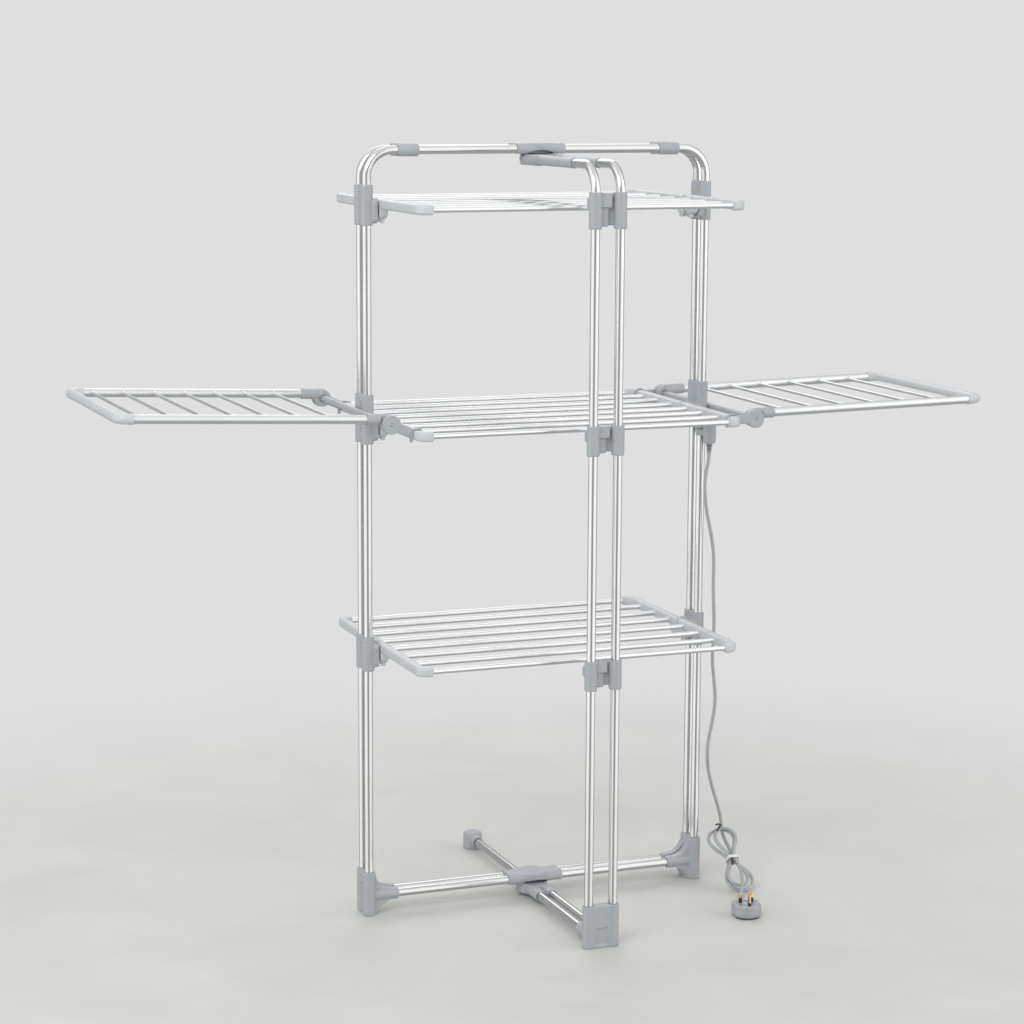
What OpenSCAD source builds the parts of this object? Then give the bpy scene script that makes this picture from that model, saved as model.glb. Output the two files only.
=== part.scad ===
// Heated clothes airer: a scissor frame of paired tubes with three heated shelves and two hook-on wings.
// Origin: on the floor, on the vertical axis of the two hubs. X runs along the main frame, -Y is the front.

/* [Main frame] */
// Height of the centre of the top bars above the floor
top_z = 1418; // [1380:1:1450]
// Height of the centre of the base bars above the floor
base_z = 36; // [34:1:44]
// Distance from the hub axis to a side post, along X
post_x = 334; // [325:1:345]
// Distance between the two tubes of a side pair
side_pair = 34; // [30:1:38]
// Distance between the two tubes of a base pair
base_pair = 24; // [23:1:34]
// Outside diameter of the frame tubes
tube_d = 16; // [14:0.5:17]
// Wall of the frame tubes
tube_wall = 1; // [0.6:0.1:1.5]
// Radius of the frame tubes' bends, at the centre line
bend_r = 48; // [40:1:60]
// Radial clearance of a tube in its socket
socket_clear = 0.15; // [0.1:0.05:0.3]

/* [Swinging frame] */
// Distance from the hub axis to the front posts, along Y
front_y = 334; // [326:1:344]
// Distance between the two tubes of the front pair
front_pair = 47; // [42:1:52]
// Distance between the two front base tubes
front_base_pair = 24; // [24:1:40]
// Distance from the hub axis to where the front posts' tops meet the arms
front_joint = 160; // [120:1:200]
// Distance from the hub axis to the front end of the arms' sleeves
front_sleeve_end = 240; // [215:1:260]
// Drop of the swinging frame's tubes below the main frame's tubes
layer_drop = 18; // [17.5:0.5:20]
// Distance from the hub axis to the middle of the rear foot
rear_foot_y = 326.5; // [300:0.5:335]
// Running gap between the two halves of a hub
hub_gap = 0.7; // [0.4:0.1:1.2]

/* [Joints and feet] */
// Wall of a socket round its tube
socket_wall = 4; // [3:0.5:5]
// Length of a coupler sleeve
coupler_len = 39; // [30:1:50]
// Distance from the coupler's outer end to the post
coupler_gap = 58; // [54:1:70]
// Height of a side foot's post sockets
foot_h = 83; // [70:1:95]
// Length of a side foot's bar sockets from the post
foot_reach = 58; // [50:1:70]
// Radius of a side foot's hollow fillet
foot_fillet = 36; // [20:1:36]
// Width of the groove between a side foot's two ribs
foot_groove = 7; // [4:1:9]
// Height of the front foot
front_foot_h = 79; // [70:1:95]
// Length of the front foot behind its posts
front_foot_reach = 62; // [50:1:75]
// Diameter of the rear foot
rear_foot_d = 38; // [34:1:44]
// Height of the rear foot
rear_foot_h = 34; // [30:1:40]
// Half length of the base hub along the bars
base_hub_half = 55; // [50:1:64]
// Half length of the top hub along the bars
top_hub_half = 47; // [42:1:60]
// Length of the turning half's sockets from the hub axis
swivel_reach = 76; // [70:1:84]
// Radius of the hub discs
hub_r = 30; // [28:1:34]
// Diameter of the hub bolts
hub_bolt_d = 8; // [6:1:10]

/* [Shelves] */
// Heights of the rod centres of the low and the middle shelf
shelf_heights = [509, 929];
// Drop of the top shelf's rods below the top bars
top_shelf_drop = 96; // [90:1:110]
// Distance between neighbouring rods
rod_pitch = 67.3; // [64:0.1:68]
// Distance from the middle of a shelf to its innermost rods
rod_first = 33.6; // [32:0.1:36]
// Rods in one half of a shelf
rods_per_half = 4; // [3:1:4]
// Outside diameter of a shelf rod
rod_d = 10; // [8:0.5:11]
// Wall of a shelf rod
rod_wall = 1; // [0.6:0.1:1.2]
// Diameter of the heating element in a rod
heater_d = 7.4; // [5:0.1:7.4]
// Distance from the middle to the inner face of a side rail
rail_x = 297; // [290:1:299]
// Width of a side rail
rail_w = 17; // [15:0.5:17.5]
// Height of a side rail
rail_h = 18; // [16:0.5:20]
// Depth of a rod's socket in the rail
rod_socket = 8; // [5:0.5:12]
// Distance from the middle plane to a shelf half's pivot
pivot_y = 20; // [19:0.5:21]
// Drop of the pivots below the rods
pivot_drop = 12; // [11:0.5:13]
// Diameter of the shelf pivot pins
pin_d = 6; // [5:0.5:7]
// Teeth on a full circle of the linking gears
gear_teeth = 16; // [16:1:16]
// Width of the gear sectors along X
gear_w = 10; // [8:0.5:12]

/* [Brackets] */
// Wall of a bracket sleeve round its tube
sleeve_wall = 3.5; // [3:0.5:4]
// Reach of the side brackets above the rods, per shelf
bracket_up = [22, 50, 35];
// Reach of the side brackets below the rods, per shelf
bracket_down = [42, 40, 38];
// Reach of the front brackets above the rods, per shelf
front_bracket_up = [19, 19, 32];
// Height of the front brackets, per shelf
front_bracket_h = [53, 53, 64];
// Gap between a side bracket's cheek and the shelf rail
cheek_gap = 2; // [1:0.5:3]

/* [Wings] */
// Distance from the hub axis to a wing hinge, along X
wing_x = 353; // [352:0.5:358]
// Height of the left and the right wing's hinge
wing_z = [949, 930];
// Half the distance between the two wing tubes
wing_y = 197; // [185:1:200]
// Height of the wing tubes above the hinge
wing_lift = 8; // [7:0.5:10]
// Length of a wing from the hinge to the middle of its end rail
wing_len = 481; // [440:1:520]
// Outside diameter of a wing tube
wing_tube_d = 16; // [14:0.5:17]
// Outside diameter of the wing's end rail
wing_rail_d = 17.6; // [17:0.1:19]
// Outside diameter of a wing rod
wing_rod_d = 6; // [4:0.5:7]
// Rods in the left and the right wing
wing_rods = [7, 6];
// First rod's distance from the hinge, left and right
wing_first = [97, 77];
// Last rod's distance from the middle of the end rail, left and right
wing_last = [42, 74];
// Rise of the wings towards their ends in degrees, left and right
wing_rise = [2.5, 1];
// Radius of the hinge discs
disc_r = 17; // [15:0.5:18]
// Length of a wing knuckle's socket from the hinge
knuckle_reach = 43; // [32:1:48]
// Thickness of a wing knuckle
knuckle_t = 12.6; // [10:0.1:13]
// Thickness of a hook's disc
hook_t = 10; // [8:0.5:11]
// Diameter of the hinge bar
hinge_bar_d = 12; // [10:0.5:12]
// Clearance between a hook and the rail it hangs on
hook_clear = 0.4; // [0.3:0.1:0.8]
// Wall of a hook
hook_wall = 3.6; // [3:0.1:4]

/* [Power lead] */
// Centre of the connection housing, X
box_x = 342; // [341:1:344]
// Centre of the connection housing, Y
box_y = -38; // [-42:1:-37]
// Diameter of the connection housing's lobe
box_d = 25; // [22:1:26]
// Height of the housing's lower face
box_z = 862; // [855:1:870]
// Height of the connection housing
box_h = 58; // [50:1:60]
// Length of the strain relief
relief_len = 18; // [16:1:24]
// Diameter of the cord
cord_d = 6.5; // [6:0.1:7]
// Length of the plug's body along the cord
plug_l = 50; // [44:1:54]
// Width of the plug's body
plug_w = 50; // [46:1:54]
// Thickness of the plug's body
plug_h = 25; // [22:1:28]

/* [Hank] */
// Smallest half width of a loop
hank_r = 19.5; // [19.5:0.5:24]
// Spacing of the outer loop from the inner one
hank_step = 7; // [7:0.1:9]
// Spacing of the layers
hank_layer = 7.2; // [7.1:0.1:8]
// Half length of the straight runs
hank_run = 45; // [44:1:50]
// Distance of the outer and of the inner loops from the hank's axis at the tie
hank_waist = [6, 3.7];
// Turn of the outer loop against the inner ones in degrees
hank_fan = 6; // [0:1:8]

/* [Hidden] */
$fn = 64;

PLASTIC = "#AEB3B8";
TUBE = "#D4D7DA";
ROD = "#DDE0E3";
WING = "#E3E5E6";
CORD = "#9A9DA1";
DARK = "#3A3C3F";

tube_r = tube_d / 2;
bore_r = tube_r + socket_clear;
socket_r = tube_r + socket_wall;
coupler_r = tube_r + 3.5;
sleeve_r = tube_r + sleeve_wall;
side_y = side_pair / 2;
front_x = front_pair / 2;
base_y = base_pair / 2;
front_base_x = front_base_pair / 2;
arm_z = top_z - layer_drop;
leg_z = base_z - layer_drop;
foot_floor = 9;
bar_stop = 20;
arm_sleeve_r = tube_r + 1.2;
hook_dx = rail_x + rail_w / 2 - wing_x;
shelf_z = [shelf_heights[0], shelf_heights[1], top_z - top_shelf_drop];
wing_pitch = [for (i = [0, 1]) (wing_len - wing_first[i] - wing_last[i]) / (wing_rods[i] - 1)];
knuckle_stop = disc_r + 1;
rod_span = rod_first + (rods_per_half - 1) * rod_pitch;
rail_mid = rail_x + rail_w / 2;
rail_round = 5;
elbow_r = 15;
elbow_tail = 3.5;
rail_end = 3;
boss_r = 14;
gear_m = 2 * pivot_y / gear_teeth;
gear_tip = pivot_y + 0.8 * gear_m;
gear_root = pivot_y - 1.12 * gear_m;
gear_backlash = 0.9;
cheek_x = rail_x + rail_w + cheek_gap;
wing_tube_r = wing_tube_d / 2;
wing_bore_r = wing_tube_r + socket_clear;
wing_elbow_r = 18;
wing_tail = 8;
knuckle_in = wing_y - knuckle_t / 2;
knuckle_out = wing_y + knuckle_t / 2;
hook_in = knuckle_out + 0.5;
hook_out = hook_in + hook_t;
box_r = box_d / 2;
cord_r = cord_d / 2;
cord_sides = 10;
relief_z = box_z - relief_len;

// The hank leans on the floor at this place; its long axis climbs away from the front
hank_at = [382, -86, 55.5];
hank_along = unit([0.03, 0.765, 0.645]);
hank_through = unit([0, 0.645, -0.765]);
hank_across = cross(hank_along, hank_through);

// Runs of the hank: the half width, the distance from the axis at the tie and the layer of each
hank_lane = [hank_r + hank_step, hank_r + hank_step, hank_r, hank_r, hank_r + 0.5];
hank_pinch = [hank_waist[0], hank_waist[0], hank_waist[1], hank_waist[1], hank_waist[1]];
hank_level = [0, 0, 1, 1, 2];
hank_half_steps = 12;
hank_first = 3;
hank_steps = 4 * hank_half_steps + 3;

function unit(v) = v / norm(v);

// A point of the hank in its own frame: across, along, layer
function hank_local(i) =
    let (k = floor(i / hank_half_steps), s = i - k * hank_half_steps, side = k % 2 == 0 ? -1 : 1)
    s <= 6
        ? let (a = 1 - s / 3, w = hank_lane[k] - (hank_lane[k] - hank_pinch[k]) * (1 + cos(180 * a)) / 2)
          [side * w, -side * hank_run * a, hank_level[k]]
        : let (q = 30 * (s - 6), t = (1 - cos(q)) / 2, w = hank_lane[k] + (hank_lane[k + 1] - hank_lane[k]) * t)
          [side * w * cos(q), side * (hank_run + w * sin(q)), hank_level[k] + (hank_level[k + 1] - hank_level[k]) * t];
function hank_point(i) =
    let (p = hank_local(i), f = hank_fan * max(0, 1 - p[2]))
    hank_at + (p[0] * cos(f) + p[1] * sin(f)) * hank_across + (p[1] * cos(f) - p[0] * sin(f)) * hank_along
        - hank_layer * (p[2] - 1) * hank_through;

// Route of the cord from the strain relief down to the hank
drop_points = [
    [342, -38, relief_z], [341, -38, 828], [337, -38, 808], [334.5, -38, 785], [336, -37, 760], [340, -36, 733],
    [346, -36, 705], [353, -36, 672], [357, -36, 635], [357, -36, 596], [358, -36, 557], [360, -36, 517],
    [359, -36, 478], [358, -36, 439], [362, -36, 399], [365, -36, 363], [363, -36, 335], [358, -35, 305],
    [353, -34, 275], [353, -32, 245], [358, -28, 215], [368, -24, 182], [380, -20, 150], [389, -18, 122],
    [392, -19, 102], [391, -27, 86], [390, -41, 76], [389, -55, 69], [388.5, -65, 63]
];
drop_end = hank_point(hank_first) + cord_d * hank_along;

// Plug: the middle of the body, its turn on the floor, the cord's side and the height of the cord's entry
plug_at = [325, -272, 0];
plug_turn = -9;
plug_back = [-sin(plug_turn), cos(plug_turn), 0];
plug_entry_z = 11;

// Route of the lead from the hank along the floor to the plug
lead_start = hank_point(hank_steps) - cord_d * hank_along;
lead_points = [
    [386.5, -104, 50], [387, -112, 43], [386.5, -121, 36], [384, -131, 28], [379, -142, 20.5], [372.5, -153, 13],
    [366, -164, 7.5], [359.5, -175, 5], [352.5, -187, 4], [346, -199, 4], [340.5, -210, 6], [335, -222, 9]
];
plug_entry = plug_at + (plug_l / 2 + 12) * plug_back + [0, 0, plug_entry_z];

// Points between the route's own points, on a smooth curve through them
function curve_point(p, i, t) =
    let (n = len(p) - 1, a = p[max(i - 1, 0)], b = p[i], c = p[min(i + 1, n)], d = p[min(i + 2, n)])
    0.5 * (2 * b + (c - a) * t + (2 * a - 5 * b + 4 * c - d) * t * t + (3 * b - a - 3 * c + d) * t * t * t);
function curve(p, cuts) = [
    for (i = [0:len(p) - 2], j = [0:cuts - 1]) curve_point(p, i, j / cuts),
    p[len(p) - 1]
];

// Directions along a line of points; the two ends take the direction given for them
function directions(p, first, last) = [
    for (i = [0:len(p) - 1])
        i == 0 ? first : i == len(p) - 1 ? last : unit(p[i + 1] - p[i - 1])
];

// A closed tube swept along points, its rings square to the directions
module sweep(p, dir, r, sides, ref) {
    n = len(p);
    rings = [
        for (i = [0:n - 1])
            let (u = unit(cross(dir[i], ref)), v = cross(dir[i], u))
            for (k = [0:sides - 1]) p[i] + r * (cos(360 * k / sides) * u + sin(360 * k / sides) * v)
    ];
    sides_faces = [
        for (i = [0:n - 2], k = [0:sides - 1])
            let (a = i * sides + k, b = i * sides + (k + 1) % sides)
            each [[a, a + sides, b], [b, a + sides, b + sides]]
    ];
    ends = [
        for (k = [1:sides - 2]) [0, k, k + 1],
        for (k = [1:sides - 2]) [(n - 1) * sides, (n - 1) * sides + k + 1, (n - 1) * sides + k]
    ];
    polyhedron(points = rings, faces = concat(sides_faces, ends));
}

module tube_z(d, wall, length) {
    difference() {
        cylinder(d = d, h = length);
        translate([0, 0, -1]) cylinder(d = d - 2 * wall, h = length + 2);
    }
}

module tube_x(d, wall, length) {
    rotate([0, 90, 0]) tube_z(d, wall, length);
}

module tube_y(d, wall, length) {
    rotate([-90, 0, 0]) tube_z(d, wall, length);
}

module rod_x(d, from, to) {
    translate([from, 0, 0]) rotate([0, 90, 0]) cylinder(d = d, h = to - from);
}

module rod_y(d, from, to) {
    translate([0, from, 0]) rotate([-90, 0, 0]) cylinder(d = d, h = to - from);
}

// A rectangle with round corners, in the plane
module rounded(w, h, r) {
    square([w, h - 2 * r], center = true);
    square([w - 2 * r, h], center = true);
    for (x = [-1, 1], y = [-1, 1]) translate([x * (w / 2 - r), y * (h / 2 - r)]) circle(r = r);
}

// A post that bends over at the top towards -X and ends in its coupler
module bent_post(height, reach) {
    translate([0, 0, foot_floor]) tube_z(tube_d, tube_wall, height - bend_r - foot_floor);
    translate([-bend_r, 0, height - bend_r]) rotate([90, 0, 0]) rotate_extrude(angle = 90)
        translate([bend_r, 0]) difference() {
            circle(d = tube_d);
            circle(d = tube_d - 2 * tube_wall);
        }
    translate([-reach, 0, height]) tube_x(tube_d, tube_wall, reach - bend_r);
}

module both_sides() {
    children();
    mirror([1, 0, 0]) children();
}

module pair_y(offset) {
    for (s = [-1, 1]) translate([0, s * offset, 0]) children();
}

module side_posts() {
    color(TUBE) both_sides() pair_y(side_y) translate([post_x, 0, 0])
        bent_post(top_z, coupler_gap + coupler_len / 2 - 0.5);
}

module top_bars() {
    from = bar_stop;
    to = post_x - coupler_gap - coupler_len / 2 - 0.5;
    color(TUBE) both_sides() pair_y(side_y)
        translate([from, 0, top_z]) tube_x(tube_d, tube_wall, to - from);
}

module coupler() {
    difference() {
        rotate([0, 90, 0]) rotate_extrude() polygon([
            [0, 0], [coupler_r - 1, 0], [coupler_r, 1], [coupler_r, coupler_len - 1],
            [coupler_r - 1, coupler_len], [0, coupler_len]
        ]);
        rod_x(2 * bore_r, -1, coupler_len + 1);
    }
}

module bar_couplers() {
    color(PLASTIC) both_sides() pair_y(side_y)
        translate([post_x - coupler_gap - coupler_len, 0, top_z]) coupler();
}

module base_bars() {
    color(TUBE) both_sides() pair_y(base_y)
        translate([bar_stop, 0, base_z]) tube_x(tube_d, tube_wall, post_x - tube_r - 3 - bar_stop);
}

// Side view of a foot: flat on the floor under its post, rising to its bar sockets, with a hollow fillet above.
// The post stands at 0 and the bars leave towards +X at height z.
module foot_outline(z, reach, height, post_r, bar_r, fillet) {
    top = z + bar_r;
    difference() {
        polygon([
            [0, 0], [post_r + 3, 0], [post_r + 9, z - bar_r - 12], [post_r + 28, z - bar_r], [reach - 3, z - bar_r],
            [reach - 3, top], [post_r + fillet, top], [post_r + fillet, min(height - 2, top + fillet)],
            [0, min(height - 2, top + fillet)]
        ]);
        translate([post_r + fillet, top + fillet]) circle(r = fillet);
    }
}

module side_foot() {
    bar_r = socket_r - 1.5;
    difference() {
        union() {
            pair_y(side_y) translate([post_x, 0, 0]) cylinder(r = socket_r, h = foot_h);
            pair_y(base_y) translate([0, 0, base_z]) rod_x(2 * bar_r, post_x - foot_reach, post_x);
            translate([post_x, base_y + 7, 0]) rotate([90, 0, 0]) linear_extrude(base_pair + 14) mirror([1, 0])
                foot_outline(base_z, foot_reach, foot_h, socket_r, bar_r, foot_fillet);
            translate([post_x - 9, -side_y, 0]) cube([18, side_pair, foot_h - 5]);
        }
        pair_y(side_y) translate([post_x, 0, foot_floor - 0.3]) cylinder(r = bore_r, h = foot_h);
        translate([post_x - foot_reach - 1, -foot_groove / 2, base_z + 4]) cube([foot_reach - 13, foot_groove, foot_h]);
        translate([post_x - foot_reach + 4, 0, -foot_reach / 2]) rod_y(foot_reach, -40, 40);
        pair_y(base_y) translate([0, 0, base_z])
            rod_x(2 * bore_r, post_x - foot_reach - 1, post_x - tube_r - 2.5);
    }
}

module side_feet() {
    color(PLASTIC) both_sides() side_foot();
}

// The half of a hub that holds the main frame's bars: two pairs of sockets round a low disc, arched in front
module main_hub(offset, half) {
    reach = socket_r - 1;
    arch_r = 60;
    difference() {
        union() {
            pair_y(offset) rod_x(2 * reach, -half, half);
            translate([-half + 2, -offset, -tube_r]) cube([2 * half - 4, 2 * offset, tube_r + reach]);
            translate([0, 0, -reach]) cylinder(r = hub_r, h = 2 * reach - 2);
            translate([0, 0, reach - 2]) cylinder(r1 = hub_r, r2 = hub_r - 2, h = 2);
        }
        translate([-half - 1, -half - 1, -reach - 1]) cube([2 * half + 2, 2 * half + 2, reach + 1 - tube_r - 0.5]);
        translate([0, 0, -arch_r - 2]) rod_y(2 * arch_r, -2 * half, -offset);
        for (s = [-1, 1]) pair_y(offset)
            rod_x(2 * bore_r, s > 0 ? bar_stop - 0.3 : -half - 1, s > 0 ? half + 1 : 0.3 - bar_stop);
        translate([0, 0, -50]) cylinder(d = hub_bolt_d + 0.3, h = 100);
        translate([0, 0, reach - 3]) cylinder(d = 2 * hub_bolt_d + 0.6, h = 10);
    }
}

// The half of a hub that turns: a disc with two sockets at the front and, at the base, one at the rear
module swivel_hub(offset, rear) {
    reach = socket_r - 1;
    top = layer_drop - tube_r - 0.5 - hub_gap;
    span = max(hub_r, offset + reach) + 1;
    difference() {
        union() {
            translate([0, 0, -reach]) cylinder(r = hub_r, h = top + reach);
            for (s = [-1, 1]) translate([s * offset, 0, 0]) rod_y(2 * reach, -swivel_reach, 0);
            translate([-offset, -hub_r - 6, -reach]) cube([2 * offset, hub_r + 6, top + reach]);
            if (rear) rod_y(2 * reach, 0, swivel_reach + 10);
        }
        translate([-span, -swivel_reach - 1, top]) cube([2 * span, 2 * swivel_reach + 12, 2 * reach]);
        for (s = [-1, 1]) translate([s * offset, 0, 0]) rod_y(2 * bore_r, -swivel_reach - 1, -29.7);
        if (rear) rod_y(2 * bore_r, 29.7, swivel_reach + 11);
        translate([0, 0, -50]) cylinder(d = hub_bolt_d + 0.3, h = 100);
        translate([0, 0, -reach - 1]) cylinder(d = 2 * hub_bolt_d + 0.6, h = 4);
    }
}

module top_hub() {
    color(PLASTIC) translate([0, 0, top_z]) main_hub(side_y, top_hub_half);
}

module base_hub() {
    color(PLASTIC) translate([0, 0, base_z]) main_hub(base_y, base_hub_half);
}

module top_swivel() {
    color(PLASTIC) translate([0, 0, arm_z]) swivel_hub(front_x, false);
}

module base_swivel() {
    color(PLASTIC) translate([0, 0, leg_z]) swivel_hub(front_base_x, true);
}

// A bolt with a flat head above and a nut below
module hub_bolt() {
    reach = socket_r - 1;
    low = -layer_drop - reach + 0.8;
    translate([0, 0, low]) cylinder(d = hub_bolt_d, h = reach - 0.4 - low);
    translate([0, 0, reach - 2.7]) cylinder(d = 2 * hub_bolt_d, h = 2.3);
    translate([0, 0, low]) cylinder(d = 1.7 * hub_bolt_d, h = 1.9, $fn = 6);
}

module hub_bolts() {
    color("silver") for (z = [base_z, top_z]) translate([0, 0, z]) hub_bolt();
}

// A side bracket: two sleeves on the posts, a cheek towards the shelf and the holes for its pivot pins
module side_bracket(z, up, down) {
    difference() {
        union() {
            pair_y(side_y) translate([post_x, 0, z - down]) cylinder(r = sleeve_r, h = up + down);
            translate([post_x - 7, -side_y, z - down + 2]) cube([14, side_pair, up + down - 4]);
            translate([cheek_x, 0, z - pivot_drop - 1]) rotate([90, 0, 90])
                linear_extrude(post_x - 8 - cheek_x) rounded(2 * pivot_y + 20, 42, 8);
        }
        pair_y(side_y) translate([post_x, 0, z - down - 1]) cylinder(r = bore_r, h = up + down + 2);
        pair_y(pivot_y) translate([0, 0, z - pivot_drop]) rod_x(pin_d + 0.2, cheek_x - 1, post_x - tube_r - 2);
    }
}

module left_brackets() {
    color(PLASTIC) mirror([1, 0, 0])
        for (i = [0:2]) side_bracket(shelf_z[i], bracket_up[i], bracket_down[i]);
}

module right_brackets() {
    color(PLASTIC) for (i = [0:2]) side_bracket(shelf_z[i], bracket_up[i], bracket_down[i]);
}

module shelf_pins() {
    color("silver") both_sides() for (z = shelf_z) pair_y(pivot_y) translate([0, 0, z - pivot_drop])
        rod_x(pin_d, rail_x + 3, post_x - tube_r - 2.3);
}

// The front posts stand on -Y: the bent post is turned so that its top runs back to the hub
module front_posts() {
    color(TUBE) for (s = [-1, 1]) translate([s * front_x, -front_y, 0]) rotate([0, 0, -90])
        bent_post(arm_z, front_y - front_joint - 0.5);
}

module front_arms() {
    to = front_joint - 0.5;
    color(TUBE) for (s = [-1, 1]) translate([s * front_x, -to, arm_z]) tube_y(tube_d, tube_wall, to - 30);
}

// Slim sleeves over the joint of each arm and post, from the hub's sockets to just before the bend
module front_couplers() {
    length = front_sleeve_end - swivel_reach;
    color(PLASTIC) for (s = [-1, 1]) translate([s * front_x, -front_sleeve_end, arm_z]) difference() {
        rod_y(2 * arm_sleeve_r, 0, length);
        rod_y(2 * bore_r, -1, length + 1);
    }
}

module front_base_tubes() {
    from = front_y - tube_r - 3;
    color(TUBE) for (s = [-1, 1]) translate([s * front_base_x, -from, leg_z])
        tube_y(tube_d, tube_wall, from - 30);
}

module rear_leg() {
    color(TUBE) translate([0, 30, leg_z]) tube_y(tube_d, tube_wall, rear_foot_y - 38);
}

// The front foot: two post sockets joined by a set-back face with a shallow window, and the base tubes' sockets
module front_foot() {
    post_r = socket_r - 0.5;
    low_r = socket_r - 1;
    face = front_y + post_r - 2;
    color(PLASTIC) difference() {
        union() {
            for (s = [-1, 1]) translate([s * front_x, -front_y, 0]) cylinder(r = post_r, h = front_foot_h);
            translate([-front_x, -face, 0]) cube([front_pair, 2 * post_r - 4, front_foot_h - 1]);
            for (s = [-1, 1]) translate([s * front_base_x, 0, leg_z])
                rod_y(2 * low_r, -front_y, front_foot_reach - front_y);
            translate([-front_base_x - 6, -front_y, 0]) rotate([90, 0, 90]) linear_extrude(front_base_pair + 12)
                difference() {
                    polygon([
                        [0, 0], [post_r + 4, 0], [front_foot_reach - 12, leg_z - low_r],
                        [front_foot_reach - 3, leg_z - low_r], [front_foot_reach - 3, leg_z + low_r],
                        [post_r + 20, leg_z + low_r], [post_r + 20, leg_z + low_r + 20], [0, leg_z + low_r + 20]
                    ]);
                    translate([post_r + 20, leg_z + low_r + 20]) circle(r = 20);
                }
        }
        for (s = [-1, 1]) translate([s * front_x, -front_y, foot_floor - 0.3])
            cylinder(r = bore_r, h = front_foot_h);
        for (s = [-1, 1]) translate([s * front_base_x, 0, leg_z])
            rod_y(2 * bore_r, -front_y + tube_r + 2.7, front_foot_reach - front_y + 1);
        translate([-11, -face - 1, 5]) cube([22, 3, 32]);
    }
}

module rear_foot() {
    r = rear_foot_d / 2;
    color(PLASTIC) translate([0, rear_foot_y, 0]) difference() {
        union() {
            cylinder(r = r, h = rear_foot_h - 7);
            translate([0, 0, rear_foot_h - 7]) rotate_extrude() union() {
                square([r - 7, 7]);
                intersection() {
                    translate([r - 7, 0]) circle(r = 7);
                    square([r, 7]);
                }
            }
            translate([0, 0, leg_z]) rod_y(2 * socket_r - 1, -r - 12, 0);
        }
        translate([-50, -50, -20]) cube([100, 100, 20]);
        translate([0, 0, leg_z]) rod_y(2 * bore_r, -60, -7.7);
    }
}

// A front bracket: two sleeves, a short upper plate, a shorter plate below it and a full plate behind
module front_bracket(z, up, h) {
    low = z + up - h;
    difference() {
        union() {
            for (s = [-1, 1]) translate([s * front_x, -front_y, low]) cylinder(r = sleeve_r, h = h);
            translate([-front_x, -front_y - 2, low + 0.58 * h])
                cube([front_pair - sleeve_r - 4, 4, 0.42 * h - 2]);
            translate([-front_x, -front_y + 1, low + 4]) cube([front_pair - sleeve_r - 10, 4, 0.6 * h]);
            translate([-front_x, -front_y + sleeve_r - 5, low + 6]) cube([front_pair, 4, h - 8]);
            translate([-front_x - sleeve_r + 0.5, -front_y + 2, low + h - 28]) cube([4, 12, 18]);
        }
        for (s = [-1, 1]) translate([s * front_x, -front_y, low - 1]) cylinder(r = bore_r, h = h + 2);
    }
}

module front_brackets() {
    color(PLASTIC) for (i = [0:2]) front_bracket(shelf_z[i], front_bracket_up[i], front_bracket_h[i]);
}

// Half the angle that a linking gear's tooth takes at a radius, from the involute
function involute(a) = tan(a) - a * PI / 180;
function tooth_half(r) =
    let (base = pivot_y * cos(20), a = acos(min(1, base / max(r, base))))
    90 / gear_teeth - gear_backlash + (involute(20) - involute(a)) * 180 / PI;
function tooth(at) =
    let (radii = [gear_root, pivot_y * cos(20), pivot_y, (pivot_y + gear_tip) / 2, gear_tip])
    [
        for (r = radii) r * [cos(at + tooth_half(r)), sin(at + tooth_half(r))],
        for (i = [4:-1:0]) radii[i] * [cos(at - tooth_half(radii[i])), sin(at - tooth_half(radii[i]))]
    ];

// The toothed sector of one shelf half, in the Y-Z plane with its pivot at the origin
module gear_sector(first) {
    step = 360 / gear_teeth;
    polygon(concat([[0, 0]], [for (i = [0:4]) each tooth(first - i * step)]));
}

// One side rail of a front half: straight part, corner elbow, pivot boss and gear sector
module side_rail(z, first) {
    corner_y = rod_span - elbow_r;
    corner_x = rail_mid - elbow_r;
    difference() {
        union() {
            translate([rail_mid, -rail_end, z]) rotate([90, 0, 0])
                linear_extrude(corner_y - rail_end) rounded(rail_w, rail_h, rail_round);
            translate([corner_x, -corner_y, z]) rotate([0, 0, -90])
                rotate_extrude(angle = 90) translate([elbow_r, 0]) rounded(rail_w, rail_h, rail_round);
            translate([corner_x, -rod_span, z]) rotate([90, 0, -90])
                linear_extrude(elbow_tail) rounded(rail_w, rail_h, rail_round);
            translate([rail_mid - gear_w / 2, -pivot_y, z - pivot_drop]) rotate([90, 0, 90]) linear_extrude(gear_w)
                gear_sector(first);
            translate([0, -pivot_y, z - pivot_drop]) rod_x(2 * boss_r, rail_x + 1, rail_x + rail_w);
        }
        for (i = [0:rods_per_half - 2]) translate([0, -rod_first - i * rod_pitch, z])
            rod_x(rod_d + 0.2, rail_x - 1, rail_x + rod_socket);
        translate([0, -rod_span, z]) rod_x(rod_d + 0.2, corner_x - elbow_tail - 1, corner_x + 4);
        translate([0, -pivot_y, z - pivot_drop]) rod_x(pin_d + 0.4, rail_x + 2.7, rail_x + rail_w + 1);
    }
}

// The rods of a front half; the outer one ends in the elbows
module half_rods(z, d, wall, short) {
    for (i = [0:rods_per_half - 1])
        let (reach = (i < rods_per_half - 1 ? rail_x + rod_socket - 0.3 : rail_mid - elbow_r + 3.7) - short)
        translate([-reach, -rod_first - i * rod_pitch, z]) tube_x(d, wall, 2 * reach);
}

module half_heaters(z) {
    for (i = [0:rods_per_half - 1]) translate([0, -rod_first - i * rod_pitch, z])
        rod_x(heater_d, -rail_x + 14, rail_x - 14);
}

module front_half() {
    children();
}

module rear_half() {
    mirror([0, 1, 0]) children();
}

module half_rails(z, first) {
    color(PLASTIC) both_sides() side_rail(z, first);
}

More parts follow.
